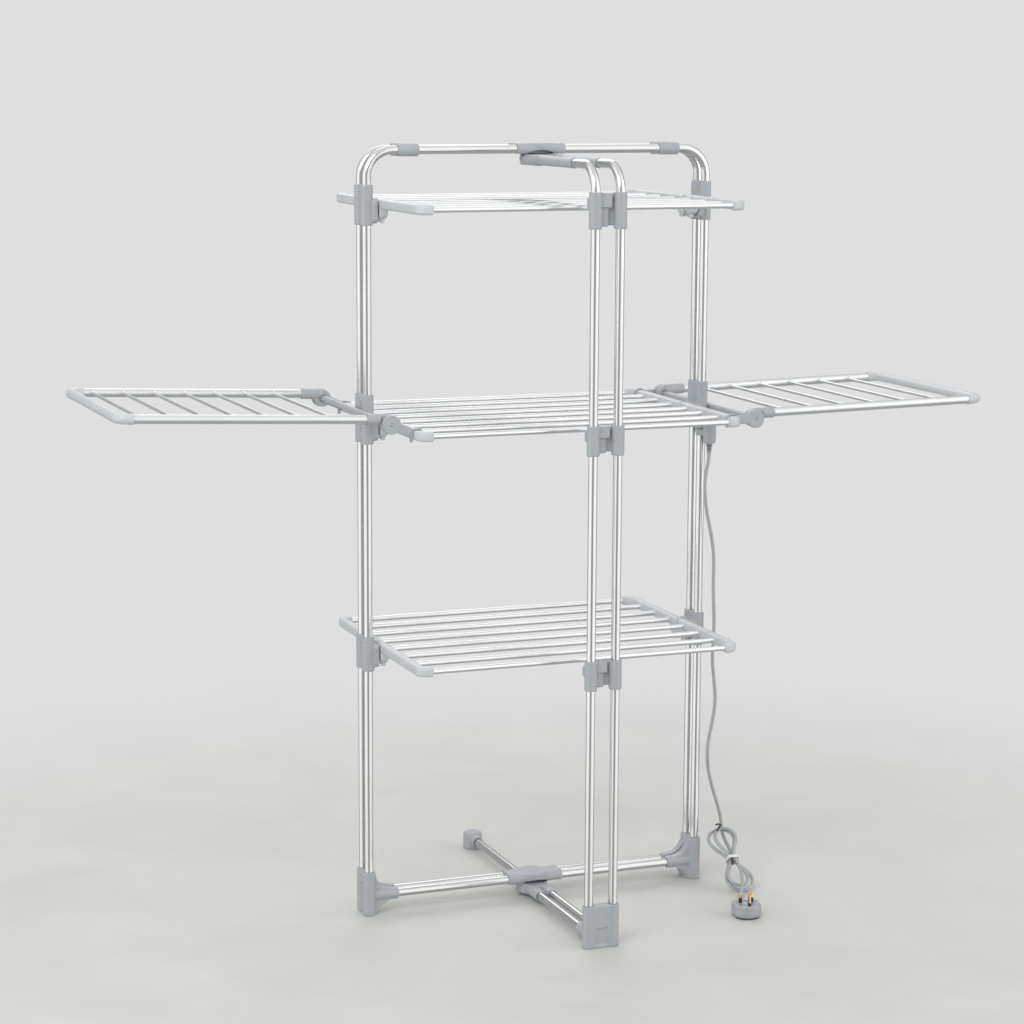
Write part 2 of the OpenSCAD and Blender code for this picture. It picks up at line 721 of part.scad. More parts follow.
// Teeth of the front halves sit on the pitch line, those of the rear halves half a step below it
front_tooth = 0;
rear_tooth = -180 / gear_teeth;

module low_front_rails() { front_half() half_rails(shelf_z[0], front_tooth); }
module mid_front_rails() { front_half() half_rails(shelf_z[1], front_tooth); }
module top_front_rails() { front_half() half_rails(shelf_z[2], front_tooth); }
module low_rear_rails() { rear_half() half_rails(shelf_z[0], rear_tooth); }
module mid_rear_rails() { rear_half() half_rails(shelf_z[1], rear_tooth); }
module top_rear_rails() { rear_half() half_rails(shelf_z[2], rear_tooth); }
module low_front_rods() { color(ROD) front_half() half_rods(shelf_z[0], rod_d, rod_wall, 0); }
module mid_front_rods() { color(ROD) front_half() half_rods(shelf_z[1], rod_d, rod_wall, 0); }
module top_front_rods() { color(ROD) front_half() half_rods(shelf_z[2], rod_d, rod_wall, 0); }
module low_rear_rods() { color(ROD) rear_half() half_rods(shelf_z[0], rod_d, rod_wall, 0); }
module mid_rear_rods() { color(ROD) rear_half() half_rods(shelf_z[1], rod_d, rod_wall, 0); }
module top_rear_rods() { color(ROD) rear_half() half_rods(shelf_z[2], rod_d, rod_wall, 0); }
module low_front_heaters() { color("tan") front_half() half_heaters(shelf_z[0]); }
module mid_front_heaters() { color("tan") front_half() half_heaters(shelf_z[1]); }
module top_front_heaters() { color("tan") front_half() half_heaters(shelf_z[2]); }
module low_rear_heaters() { color("tan") rear_half() half_heaters(shelf_z[0]); }
module mid_rear_heaters() { color("tan") rear_half() half_heaters(shelf_z[1]); }
module top_rear_heaters() { color("tan") rear_half() half_heaters(shelf_z[2]); }

// Places a wing's piece: drawn to +X from the hinge, risen by its angle; side 0 is left
module at_wing(side) {
    mirror([side == 0 ? 1 : 0, 0, 0]) translate([wing_x, 0, wing_z[side]]) rotate([0, -wing_rise[side], 0])
        children();
}

module at_hinge(side) {
    mirror([side == 0 ? 1 : 0, 0, 0]) translate([wing_x, 0, wing_z[side]]) children();
}

module wing_tubes(side) {
    corner = wing_len - wing_elbow_r;
    color(WING) at_wing(side) difference() {
        pair_y(wing_y) translate([knuckle_stop, 0, wing_lift])
            tube_x(wing_tube_d, tube_wall, corner - knuckle_stop);
        for (i = [0:wing_rods[side] - 1]) translate([wing_first[side] + i * wing_pitch[side], 0, wing_lift])
            rod_y(wing_rod_d + 0.2, 3 - wing_y, wing_y - 3);
    }
}

module wing_rod_set(side) {
    reach = wing_y - wing_tube_r + 1;
    color(WING) at_wing(side) for (i = [0:wing_rods[side] - 1])
        translate([wing_first[side] + i * wing_pitch[side], 0, wing_lift]) rod_y(wing_rod_d, -reach, reach);
}

module wing_end(side) {
    corner = wing_len - wing_elbow_r;
    turn = wing_y - wing_elbow_r;
    color(PLASTIC) at_wing(side) translate([0, 0, wing_lift]) {
        translate([wing_len, 0, 0]) rod_y(wing_rail_d, -turn, turn);
        for (s = [0, 1]) mirror([0, s, 0]) {
            translate([corner, turn, 0]) rotate_extrude(angle = 90) translate([wing_elbow_r, 0])
                circle(d = wing_rail_d);
            translate([0, wing_y, 0]) difference() {
                rod_x(wing_rail_d + 1, corner - wing_tail, corner);
                rod_x(2 * wing_bore_r, corner - wing_tail - 1, corner + 0.3);
            }
        }
    }
}

module wing_knuckles(side) {
    color(PLASTIC) at_wing(side) for (s = [0, 1]) mirror([0, s, 0]) difference() {
        union() {
            rod_y(2 * disc_r - 2, knuckle_in, knuckle_out);
            translate([0, wing_y, wing_lift]) rod_x(2 * wing_tube_r + 4, 0, knuckle_reach);
        }
        rod_y(hinge_bar_d + 0.5, knuckle_in - 5, knuckle_out + 5);
        translate([0, wing_y, wing_lift]) rod_x(2 * wing_bore_r, knuckle_stop - 0.3, knuckle_reach + 1);
        translate([-20, knuckle_out, -30]) cube([disc_r + 21, 10, 60]);
    }
}

// A hook: a disc outside the knuckle, a neck, and an upside-down U over the shelf's side rail
module wing_hook(dz) {
    outer = rail_w / 2 + hook_clear + hook_wall;
    neck = norm([hook_dx, dz]);
    difference() {
        union() {
            rod_y(2 * disc_r, hook_in, hook_out);
            translate([hook_dx, 0, dz]) rod_y(2 * outer, hook_in, hook_out);
            translate([hook_dx - outer, hook_in, dz - 13]) cube([2 * outer, hook_t, 13]);
            rotate([0, atan2(-dz, hook_dx), 0]) translate([disc_r - 3, hook_in, -8])
                cube([neck - disc_r - outer + 6, hook_t, 16]);
        }
        translate([hook_dx, hook_out + 1, dz]) rotate([90, 0, 0]) linear_extrude(hook_t + 2)
            rounded(rail_w + 2 * hook_clear, rail_h + 2 * hook_clear, rail_round + hook_clear);
        translate([hook_dx - rail_w / 2 - hook_clear, hook_in - 1, dz - 20])
            cube([rail_w + 2 * hook_clear, hook_t + 2, 16]);
        rod_y(hinge_bar_d + 0.1, hook_in - 1, hook_out - 2);
        rod_y(5, hook_out - 3, hook_out + 1);
    }
}

module wing_hooks(side) {
    color(PLASTIC) at_hinge(side) for (s = [0, 1]) mirror([0, s, 0]) wing_hook(shelf_z[1] - wing_z[side]);
}

module wing_hinge_bar(side) {
    reach = hook_out - 2.3;
    color(PLASTIC) at_hinge(side) translate([0, -reach, 0]) tube_y(hinge_bar_d, 1.5, 2 * reach);
}

module left_wing_tubes() { wing_tubes(0); }
module left_wing_rods() { wing_rod_set(0); }
module left_wing_end() { wing_end(0); }
module left_wing_knuckles() { wing_knuckles(0); }
module left_hooks() { wing_hooks(0); }
module left_hinge_bar() { wing_hinge_bar(0); }
module right_wing_tubes() { wing_tubes(1); }
module right_wing_rods() { wing_rod_set(1); }
module right_wing_end() { wing_end(1); }
module right_wing_knuckles() { wing_knuckles(1); }
module right_hooks() { wing_hooks(1); }
module right_hinge_bar() { wing_hinge_bar(1); }

// The connection housing hangs from the front sleeve of the right bracket, under the wing's hinge bar
module power_housing() {
    wall = 2;
    sleeve_end = shelf_z[1] - bracket_down[1];
    color(PLASTIC) difference() {
        union() {
            translate([box_x, box_y, box_z + 3]) cylinder(r = box_r, h = box_h - 6);
            translate([box_x, box_y, box_z]) cylinder(r1 = box_r - 2, r2 = box_r, h = 3);
            translate([box_x, box_y, box_z + box_h - 3]) cylinder(r1 = box_r, r2 = box_r - 3, h = 3);
            translate([post_x, -side_y, sleeve_end - 14]) cylinder(r1 = sleeve_r - 2, r2 = sleeve_r, h = 13.7);
            translate([post_x - 9, box_y, sleeve_end - 11]) cube([18, -side_y - box_y - 9, 10.7]);
        }
        translate([post_x, -side_y, box_z - 20]) cylinder(r = bore_r, h = 100);
        translate([post_x, -side_y, sleeve_end - 0.3]) cylinder(r = sleeve_r + 0.3, h = 60);
        translate([box_x, box_y, box_z + wall]) cylinder(r = box_r - wall, h = box_h - 2 * wall - 1);
        translate([box_x, box_y, box_z - 1]) cylinder(d = cord_d + 0.4, h = wall + 2);
    }
}

module terminal_block() {
    color("white") translate([box_x, box_y, box_z + 2]) difference() {
        translate([-6.5, -6.5, 0]) cube([13, 13, 42]);
        translate([-4, -7, -1]) cube([8, 14, 12]);
        for (s = [-1, 1]) translate([s * 3.2, 0, 18]) rod_y(3.4, -10, 10);
        for (s = [-1, 1]) translate([s * 3.2, 0, 34]) rod_y(3.4, -10, 10);
    }
}

// The ribbed, tapered strain relief under the housing
module strain_relief() {
    ribs = 4;
    pitch = (relief_len - 4) / ribs;
    color(PLASTIC) translate([box_x, box_y, box_z]) rotate([180, 0, 0]) rotate_extrude() polygon(concat(
        [[0, 0.2], [box_r / 2, 0.2]],
        [
            for (i = [0:ribs - 1])
                let (r = box_r / 2 - i * 0.5, z = 1.5 + i * pitch)
                each [[r, z], [r - 1.3, z + 0.6], [r - 1.3, z + 1.8], [r, z + 2.4], [r - 0.2, z + pitch - 0.2]]
        ],
        [[cord_r + 1, relief_len], [0, relief_len]]
    ));
}

module cord_drop() {
    p = concat(curve(drop_points, 2), [drop_end]);
    color(CORD) sweep(p, directions(p, [0, 0, -1], -hank_along), cord_r, cord_sides, [1, 0, 0]);
}

module cord_lead() {
    p = concat([lead_start], curve(lead_points, 1), [plug_entry]);
    color(CORD) sweep(p, directions(p, -hank_along, -plug_back), cord_r, cord_sides, [1, 0, 0]);
}

module cord_hank() {
    p = concat([drop_end], hank_all, [lead_start]);
    color(CORD) sweep(p, directions(p, -hank_along, -hank_along), cord_r, 6, hank_through);
}

// Least distance between two stretches of the hank that are not neighbours, less the cord
hank_all = [for (i = [hank_first:hank_steps]) hank_point(i)];
hank_gap = min([
    for (i = [0:len(hank_all) - 9], j = [i + 8:len(hank_all) - 1]) norm(hank_all[i] - hank_all[j])
]) - cord_d;
echo(hank_gap = hank_gap);

// The tie that holds the hank at its waist
module hank_tie() {
    w = 2 * hank_waist[0] + cord_d + 3.6;
    h = 2 * hank_layer + cord_d + 1.2;
    color(DARK) multmatrix([
        [hank_across[0], hank_along[0], hank_through[0], hank_at[0]],
        [hank_across[1], hank_along[1], hank_through[1], hank_at[1]],
        [hank_across[2], hank_along[2], hank_through[2], hank_at[2]],
        [0, 0, 0, 1]
    ]) rotate([-90, 0, 0]) difference() {
        translate([0, 0, -2.5]) linear_extrude(5) rounded(w + 2.4, h + 2.4, 5.2);
        translate([0, 0, -3.5]) linear_extrude(7) rounded(w, h, 4);
    }
}

// Outline of the plug, set in by a margin: an arc towards the front, round corners at the cord's side
module plug_outline(inset) {
    w = plug_w - 2 * inset;
    l = plug_l - 2 * inset;
    corner = 7 - inset;
    arc_y = (plug_w - plug_l) / 2 + 2;
    intersection() {
        square([w, l], center = true);
        union() {
            translate([0, arc_y]) circle(r = plug_w / 2 + 2 - inset);
            translate([-w / 2, arc_y]) square([w, l / 2 - arc_y - corner]);
            translate([corner - w / 2, arc_y]) square([w - 2 * corner, l / 2 - arc_y]);
            for (s = [-1, 1]) translate([s * (w / 2 - corner), l / 2 - corner]) circle(r = corner);
        }
    }
}

// A three-pin plug on its back: a flat body with the pins up
module plug_body() {
    color(PLASTIC) translate(plug_at) rotate([0, 0, plug_turn]) difference() {
        union() {
            translate([0, 0, 1]) linear_extrude(plug_h - 1) plug_outline(0);
            linear_extrude(2) plug_outline(2);
            translate([0, plug_l / 2 - 2, plug_entry_z]) rod_y(2 * cord_r + 4, 0, 14);
        }
        for (s = [-1, 1]) translate([s * 11.1, 8, plug_h - 8]) translate([-3.3, -2.2, 0]) cube([6.6, 4.4, 10]);
        translate([-2.2, -18.3, plug_h - 8]) cube([4.4, 8.4, 10]);
    }
}

module plug_pins() {
    color("gold") translate(plug_at) rotate([0, 0, plug_turn]) {
        for (s = [-1, 1]) translate([s * 11.1 - 3.1, 6, plug_h - 7.7]) cube([6.2, 4, 25.4]);
        translate([-2, -18.1, plug_h - 7.7]) cube([4, 8, 30.4]);
    }
}

side_posts();
top_bars();
bar_couplers();
base_bars();
side_feet();
top_hub();
base_hub();
hub_bolts();
left_brackets();
right_brackets();
shelf_pins();
front_posts();
front_arms();
front_couplers();
front_base_tubes();
rear_leg();
top_swivel();
base_swivel();
front_foot();
rear_foot();
front_brackets();
low_front_rails();
low_front_rods();
low_front_heaters();
low_rear_rails();
low_rear_rods();
low_rear_heaters();
mid_front_rails();
mid_front_rods();
mid_front_heaters();
mid_rear_rails();
mid_rear_rods();
mid_rear_heaters();
top_front_rails();
top_front_rods();
top_front_heaters();
top_rear_rails();
top_rear_rods();
top_rear_heaters();
left_wing_tubes();
left_wing_rods();
left_wing_end();
left_wing_knuckles();
left_hooks();
left_hinge_bar();
right_wing_tubes();
right_wing_rods();
right_wing_end();
right_wing_knuckles();
right_hooks();
right_hinge_bar();
power_housing();
terminal_block();
strain_relief();
cord_drop();
cord_hank();
hank_tie();
cord_lead();
plug_body();
plug_pins();
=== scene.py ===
"""Heated clothes airer: finishes, cord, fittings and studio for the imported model."""

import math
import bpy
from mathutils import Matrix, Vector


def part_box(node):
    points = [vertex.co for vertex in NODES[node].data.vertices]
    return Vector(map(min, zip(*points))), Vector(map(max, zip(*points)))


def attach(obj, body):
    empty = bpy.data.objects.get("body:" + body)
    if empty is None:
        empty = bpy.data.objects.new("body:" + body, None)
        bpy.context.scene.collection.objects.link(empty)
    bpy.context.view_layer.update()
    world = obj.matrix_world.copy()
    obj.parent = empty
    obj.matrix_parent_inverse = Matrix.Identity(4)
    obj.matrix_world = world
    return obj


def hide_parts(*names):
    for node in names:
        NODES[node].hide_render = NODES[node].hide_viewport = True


bl_info = {
    "name": "Heated Clothes Airer",
    "version": (1, 0, 0),
    "blender": (4, 5, 0),
    "location": "View3D > Sidebar > Airer",
    "description": "Dresses a folding heated clothes airer with its finishes, cord, fittings and studio",
    "category": "Add Mesh",
}

import bmesh
import bpy
from bpy.props import FloatProperty, IntProperty, PointerProperty, StringProperty
from mathutils import Matrix, Vector

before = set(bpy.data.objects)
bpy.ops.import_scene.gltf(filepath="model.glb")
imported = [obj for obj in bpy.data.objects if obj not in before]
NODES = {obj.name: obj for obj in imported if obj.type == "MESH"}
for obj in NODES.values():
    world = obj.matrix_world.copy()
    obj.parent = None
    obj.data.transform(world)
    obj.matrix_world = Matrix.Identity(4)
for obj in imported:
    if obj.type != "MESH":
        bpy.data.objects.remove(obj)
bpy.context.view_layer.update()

MM = 0.001
LEVELS = ("low", "mid", "top")
SIDES = ("front", "rear")
WINGS = ("left", "right")
HAND = {"left": -1, "right": 1}


def span(name, axis):
    """The lowest and highest place of a CAD node along an axis, in millimetres."""
    return [round(corner["xyz".index(axis)] / MM, 2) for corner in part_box(name)]


def middle(name, axis):
    """The middle of a CAD node along an axis, in millimetres."""
    return sum(span(name, axis)) / 2


# Places that the frame gives, in millimetres
TOP_Z = middle("top_bars", "z")
BASE_Z = middle("base_bars", "z")
TUBE_R = span("top_bars", "z")[1] - TOP_Z
LAYER_DROP = BASE_Z - middle("front_base_tubes", "z")
POST_X = span("side_posts", "x")[1] - TUBE_R
FRONT_Y = -span("front_posts", "y")[0] - TUBE_R
SHELF_Z = {level: middle(f"{level}_front_rods", "z") for level in LEVELS}
RAIL_OUT = span("low_front_rails", "x")[1]
WING_X = middle("right_hinge_bar", "x")
WING_Z = {wing: middle(f"{wing}_hinge_bar", "z") for wing in WINGS}
HOOK_OUT = span("right_hooks", "y")[1]

# The side brackets' reach over and under a shelf, and the front brackets' reach over it
BRACKET_UP = {"low": 22, "mid": 50, "top": 35}
BRACKET_DOWN = {"low": 42, "mid": 40, "top": 38}
FRONT_BRACKET_UP = {"low": 19, "mid": 19, "top": 32}

# A half shelf's first rod, the rods' spacing and the rails' inner faces
ROD_FIRST = 33.6
ROD_PITCH = 67.3
RAIL_IN = RAIL_OUT - 17

# A wing's tubes, out from its middle and over its hinge, its slope in degrees, and its rods
WING_Y = 197
WING_LIFT = 8
WING_RISE = {"left": 2.5, "right": 1.0}
WING_RODS = {"left": 7, "right": 6}
WING_FIRST = {"left": 97, "right": 77}
WING_PITCH = {"left": 57, "right": 66}

# The strain relief's upper end and its radius there
RELIEF_TOP = (342, -38, 862)
RELIEF_R = 6.25

# The camera's place in metres, and its azimuth, downward pitch and roll in degrees
CAMERA_AT = (-1.8198, -4.5547, 1.5596)
CAMERA_TURN = (21.29, 9.46, 0.29)

# The hank's middle and its own axes
HANK_AT = Vector((382, -86, 55.5))
HANK_ALONG = Vector((0.03, 0.765, 0.645)).normalized()
HANK_THROUGH = Vector((0, 0.645, -0.765)).normalized()
HANK_ACROSS = HANK_ALONG.cross(HANK_THROUGH)

# Each run's half width, its distance from the axis at the tie, and its layer
HANK_LANE = (26.5, 26.5, 19.5, 19.5, 20.0)
HANK_PINCH = (6.0, 6.0, 3.7, 3.7, 3.7)
HANK_LEVEL = (0, 0, 1, 1, 2)

# The layers' spacing, a run's half length, the first layer's fan in degrees, and the points made of it all
HANK_LAYER = 7.2
HANK_RUN = 45
HANK_FAN = 6
HANK_HALF_STEPS = 12
HANK_FIRST = 3
HANK_LAST = 51

# The cord's route from the strain relief down to the hank, and from the hank along the floor to the plug
DROP_ROUTE = (
    (342, -38, 844), (341, -38, 828), (337, -38, 808), (334.5, -38, 785), (336, -37, 760), (340, -36, 733),
    (346, -36, 705), (353, -36, 672), (357, -36, 635), (357, -36, 596), (358, -36, 557), (360, -36, 517),
    (359, -36, 478), (358, -36, 439), (362, -36, 399), (365, -36, 363), (363, -36, 335), (358, -35, 305),
    (353, -34, 275), (353, -32, 245), (358, -28, 215), (368, -24, 182), (380, -20, 150), (389, -18, 122),
    (392, -19, 102), (391, -27, 86), (390, -41, 76), (389, -55, 69), (388.5, -65, 63),
)
LEAD_ROUTE = (
    (386.5, -104, 50), (387, -112, 43), (386.5, -121, 36), (384, -131, 28), (379, -142, 20.5),
    (372.5, -153, 13), (366, -164, 7.5), (359.5, -175, 5), (352.5, -187, 4), (346, -199, 4),
    (340.5, -210, 6), (335, -222, 9),
)

# The plug, on its back: its middle, its turn in degrees, the cord's entry, and the height of the pins' face
PLUG_AT = Vector((325, -272, 0))
PLUG_TURN = -9
PLUG_ENTRY = PLUG_AT + Matrix.Rotation(math.radians(PLUG_TURN), 3, "Z") @ Vector((0, 37, 11))
PLUG_TOP = 25


class AirerSizes(bpy.types.PropertyGroup):
    cord_diameter: FloatProperty(
        name="Cord Diameter", description="Outside diameter of the mains cord's sheath",
        default=0.0065, min=0.005, max=0.008, subtype="DISTANCE", unit="LENGTH",
    )
    edge_grain: FloatProperty(
        name="Edge Grain", description="Mesh size that rounds the mouldings' edges",
        default=0.0012, min=0.0006, max=0.003, subtype="DISTANCE", unit="LENGTH",
    )
    edge_rounds: IntProperty(
        name="Edge Rounds", description="Smoothing steps on the mouldings' edges", default=5, min=0, max=12,
    )
    screw_radius: FloatProperty(
        name="Screw Head", description="Radius of the cross-head screws",
        default=0.0032, min=0.002, max=0.004, subtype="DISTANCE", unit="LENGTH",
    )
    floor_radius: FloatProperty(
        name="Floor", description="Radius of the studio floor",
        default=14.0, min=6.0, max=30.0, subtype="DISTANCE", unit="LENGTH",
    )
    lens: FloatProperty(
        name="Lens", description="Focal length for a 36 mm wide sensor", default=93.18, min=50, max=150,
        subtype="DISTANCE_CAMERA",
    )


class AirerColours(bpy.types.PropertyGroup):
    moulding: StringProperty(
        name="Mouldings", description="Hex colour of the feet, hubs and brackets", default="#ACB1B6")
    # Painted light: the rails' colour is lighter than the mouldings' to stand for light on their rounded
    # tops
    rail: StringProperty(
        name="Shelf Rails", description="Hex colour of the shelves' side rails", default="#CCCFD2")
    tube: StringProperty(
        name="Frame Tubes", description="Hex colour of the anodised aluminium tubes", default="#CACBCB")
    rod: StringProperty(
        name="Shelf Rods", description="Hex colour of the shelves' aluminium rods", default="#DCDDDF")
    wing: StringProperty(
        name="Wings", description="Hex colour of the wings' lacquered tubes and rods", default="#D0D2D4")
    cord: StringProperty(
        name="Cord", description="Hex colour of the cord's sheath", default="#A6A9AD")
    plug: StringProperty(
        name="Plug", description="Hex colour of the plug's case", default="#A5A7AE")
    floor: StringProperty(
        name="Floor", description="Hex colour of the studio floor", default="#D2D3CF")
    backdrop: StringProperty(
        name="Backdrop", description="Hex colour of the studio's distance", default="#DFDFE0")


def sizes():
    return bpy.context.scene.airer_sizes


def colours():
    return bpy.context.scene.airer_colours


def linear(hex_colour):
    """An sRGB hex colour as linear red, green, blue and alpha."""
    parts = [int(hex_colour[i:i + 2], 16) / 255 for i in (1, 3, 5)]
    return tuple(c / 12.92 if c <= 0.04045 else ((c + 0.055) / 1.055) ** 2.4 for c in parts) + (1.0,)


# Materials

def node(tree, kind, values=None, links=None, **settings):
    """Adds a shader node, sets its settings and socket values, and links its inputs."""
    made = tree.nodes.new(kind)
    for name, value in settings.items():
        setattr(made, name, value)
    for socket, value in (values or {}).items():
        made.inputs[socket].default_value = value
    for socket, source in (links or {}).items():
        tree.links.new(source, made.inputs[socket])
    return made


def finish(
        name, colour, mottle, mottle_mm, grain_mm, relief_mm, roughness, spread, stretch=(1, 1, 1),
        **shader):
    """A surface with slow colour mottling, a fine grain in relief, and gloss that follows the grain.

    stretch draws the grain out along an axis: 0.02 makes it fifty times longer that way."""
    if name in bpy.data.materials:
        return bpy.data.materials[name]
    made = bpy.data.materials.new(name)
    made.use_nodes = True
    tree = made.node_tree
    tree.nodes.clear()
    place = node(tree, "ShaderNodeTexCoord").outputs["Object"]
    slow = node(
        tree, "ShaderNodeTexNoise", {"Scale": 1 / (mottle_mm * MM), "Detail": 3.0, "Roughness": 0.55},
        {"Vector": place},
    )
    drawn = node(tree, "ShaderNodeMapping", {"Scale": stretch}, {"Vector": place})
    fine = node(
        tree, "ShaderNodeTexNoise", {"Scale": 1 / (grain_mm * MM), "Detail": 2.0, "Roughness": 0.6},
        {"Vector": drawn.outputs["Vector"]},
    )
    base = linear(colour)
    shades = node(tree, "ShaderNodeValToRGB", links={"Fac": slow.outputs["Fac"]})
    ramp = shades.color_ramp
    ramp.elements[0].position, ramp.elements[1].position = 0.3, 0.7
    ramp.elements[0].color = tuple(c * (1 - mottle) for c in base[:3]) + (1,)
    ramp.elements[1].color = tuple(min(1, c * (1 + mottle)) for c in base[:3]) + (1,)
    gloss = node(
        tree, "ShaderNodeMapRange",
        {"From Min": 0.3, "From Max": 0.7, "To Min": roughness - spread, "To Max": roughness + spread},
        {"Value": fine.outputs["Fac"]},
    )
    relief = node(
        tree, "ShaderNodeBump", {"Strength": 1.0, "Distance": relief_mm * MM},
        {"Height": fine.outputs["Fac"]},
    )
    bsdf = node(
        tree, "ShaderNodeBsdfPrincipled",
        {"IOR" if k == "ior" else k.replace("_", " ").title(): v for k, v in shader.items()},
        {
            "Base Color": shades.outputs["Color"],
            "Roughness": gloss.outputs["Result"],
            "Normal": relief.outputs["Normal"],
        },
    )
    node(tree, "ShaderNodeOutputMaterial", links={"Surface": bsdf.outputs["BSDF"]})
    return made


ALONG = {"x": (0.012, 1, 1), "y": (1, 0.012, 1), "z": (1, 1, 0.012)}


def anodised_tube(axis):
    # Drawn aluminium under a clear satin anodised coat, with draw lines along the tube.
    # The lines are 0.2 mm wide on the real tube, and 0.7 mm here so that they show.
    return finish(
        "satin_anodised_aluminium_" + axis, colours().tube, 0.03, 120, 0.7, 0.0012, 0.17, 0.03, ALONG[axis],
        metallic=1.0,
    )


def drawn_rod(axis):
    # Thin aluminium rods, brightened and lacquered: whiter and a little glossier than the frame tubes.
    return finish(
        "bright_drawn_aluminium_" + axis, colours().rod, 0.02, 90, 0.6, 0.0012, 0.22, 0.04, ALONG[axis],
        metallic=0.9,
    )


def lacquered_wing(axis):
    # Steel tube in a pale silver lacquer: faint flake, no draw lines.
    return finish(
        "silver_lacquered_steel_" + axis, colours().wing, 0.03, 60, 0.5, 0.004, 0.28, 0.05, metallic=0.8,
        coat_weight=0.25, coat_roughness=0.2,
    )


def moulded_abs():
    # Injection-moulded ABS from a spark-eroded tool: a fine matte grain of 0.3 mm, drawn at 0.6 mm to show.
    return finish(
        "moulded_grey_abs", colours().moulding, 0.035, 35, 0.6, 0.020, 0.42, 0.07, ior=1.53)


def moulded_rail():
    # The rails are the same plastic from a smoother tool; their colour is painted lighter all over, as
    # painted light for how their rounded tops catch the light.
    return finish(
        "moulded_abs_painted_light", colours().rail, 0.03, 45, 0.6, 0.014, 0.38, 0.06, ior=1.53)


def plated_steel():
    # Zinc-plated steel: cool grey, faintly mottled by the plating bath.
    return finish("zinc_plated_steel", "#B9BCBE", 0.10, 4, 0.4, 0.006, 0.30, 0.08, metallic=1.0)


def cord_sheath():
    # Soft PVC sheath: satin, with faint handling marks.
    return finish(
        "grey_pvc_sheath", colours().cord, 0.05, 25, 0.8, 0.008, 0.30, 0.06, ior=1.52,
        coat_weight=1.0, coat_roughness=0.15)


def plug_case():
    # Glossier moulded thermoset of the plug's case.
    return finish(
        "moulded_plug_polypropylene", colours().plug, 0.03, 20, 0.5, 0.008, 0.30, 0.05, ior=1.49,
        coat_weight=0.6, coat_roughness=0.2)


def brass_pin():
    # Machined brass, bright with faint turning marks.
    return finish("machined_brass", "#D6B183", 0.08, 3, 0.3, 0.008, 0.24, 0.06, ALONG["z"], metallic=1.0)


def pin_sleeve():
    # The dark insulating sleeve moulded round the root of a pin.
    return finish("black_nylon_sleeve", "#1F1E1D", 0.08, 5, 0.4, 0.008, 0.40, 0.06, ior=1.53)


def tie_ribbon():
    # A paper-thin PVC ribbon over a wire core.
    return finish("white_pvc_ribbon", "#ECEDEA", 0.04, 6, 0.5, 0.015, 0.40, 0.06, ior=1.52)


def tie_end():
    return finish("dark_tie_wire", "#3A3B3C", 0.10, 4, 0.4, 0.010, 0.42, 0.08, ior=1.52)


def silicone_sleeve():
    # Silicone rubber over the heating wire: dull and slightly dusty.
    return finish("silicone_rubber_sleeve", "#B98A6A", 0.06, 12, 0.6, 0.012, 0.55, 0.08, ior=1.43)


def terminal_nylon():
    return finish("natural_nylon", "#E6E3D8", 0.04, 8, 0.5, 0.010, 0.38, 0.05, ior=1.53)


def shade_paint():
    # Painted shade: the unlit depth of a screw hole, a groove or a joint line, and the shadow under the
    # plug, as a dark plastic.
    return finish("painted_shade_dark_plastic", "#4C5053", 0.06, 8, 0.5, 0.010, 0.55, 0.05, ior=1.53)


# Meshes

def dress(name, material):
    """Gives a CAD node its finish."""
    materials = NODES[name].data.materials
    materials.clear()
    materials.append(material)


def soften(name, grain=None, rounds=None):
    """Rounds a moulding's edges: an even mesh over the CAD shape, then a few smoothing steps."""
    o = NODES[name]
    skin = o.modifiers.new("even skin", "REMESH")
    skin.mode = "VOXEL"
    skin.voxel_size = grain or sizes().edge_grain
    skin.use_smooth_shade = True
    smooth = o.modifiers.new("rounded edges", "SMOOTH")
    smooth.factor = 0.5
    smooth.iterations = sizes().edge_rounds if rounds is None else rounds


def smooth_round(name):
    """Shades a node's round faces smooth and keeps edges that bend by over 30 degrees sharp."""
    o = NODES[name]
    mesh = o.data
    mesh.polygons.foreach_set("use_smooth", [True] * len(mesh.polygons))
    weld = o.modifiers.new("joined faces", "WELD")
    weld.merge_threshold = 0.00001
    split = o.modifiers.new("sharp edges", "EDGE_SPLIT")
    split.split_angle = math.radians(30)


def new_piece(name, bm, body, material, nodes=(), sharp=40):
    """Turns a bmesh into a piece that rides on a body, fills a slot and may stand for CAD nodes.

    Edges bent by more than sharp degrees stay sharp in the shading."""
    bmesh.ops.recalc_face_normals(bm, faces=bm.faces[:])
    for face in bm.faces:
        face.smooth = True
    limit = math.radians(sharp)
    for edge in bm.edges:
        if len(edge.link_faces) == 2 and edge.calc_face_angle(0) > limit:
            edge.smooth = False
    mesh = bpy.data.meshes.new(name)
    bm.to_mesh(mesh)
    bm.free()
    o = bpy.data.objects.new(name, mesh)
    bpy.context.scene.collection.objects.link(o)
    for m in material if isinstance(material, (list, tuple)) else [material]:
        mesh.materials.append(m)
    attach(o, body)
    if nodes:
        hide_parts(*nodes)


def placed(at_mm, along=(0, 0, 1), turn=0.0):
    """A frame in metres at a point in millimetres, its Z along a direction, turned about it."""
    z = Vector(along).normalized()
    turned = z.to_track_quat("Z", "Y").to_matrix().to_4x4()
    return Matrix.Translation(Vector(at_mm) * MM) @ turned @ Matrix.Rotation(math.radians(turn), 4, "Z")


def loft(bm, rings, place, start=True, end=True, material=0):
    """Joins rings of points, in millimetres in the axes of place, with quads, and caps the ends."""
    rows = [[bm.verts.new(place @ (Vector(p) * MM)) for p in ring] for ring in rings]
    count = len(rows[0])
    faces = []
    for a, b in zip(rows, rows[1:]):
        for k in range(count):
            faces.append(bm.faces.new((a[k], a[(k + 1) % count], b[(k + 1) % count], b[k])))
    if start:
        faces.append(bm.faces.new(rows[0][::-1]))
    if end:
        faces.append(bm.faces.new(rows[-1]))
    for face in faces:
        face.material_index = material


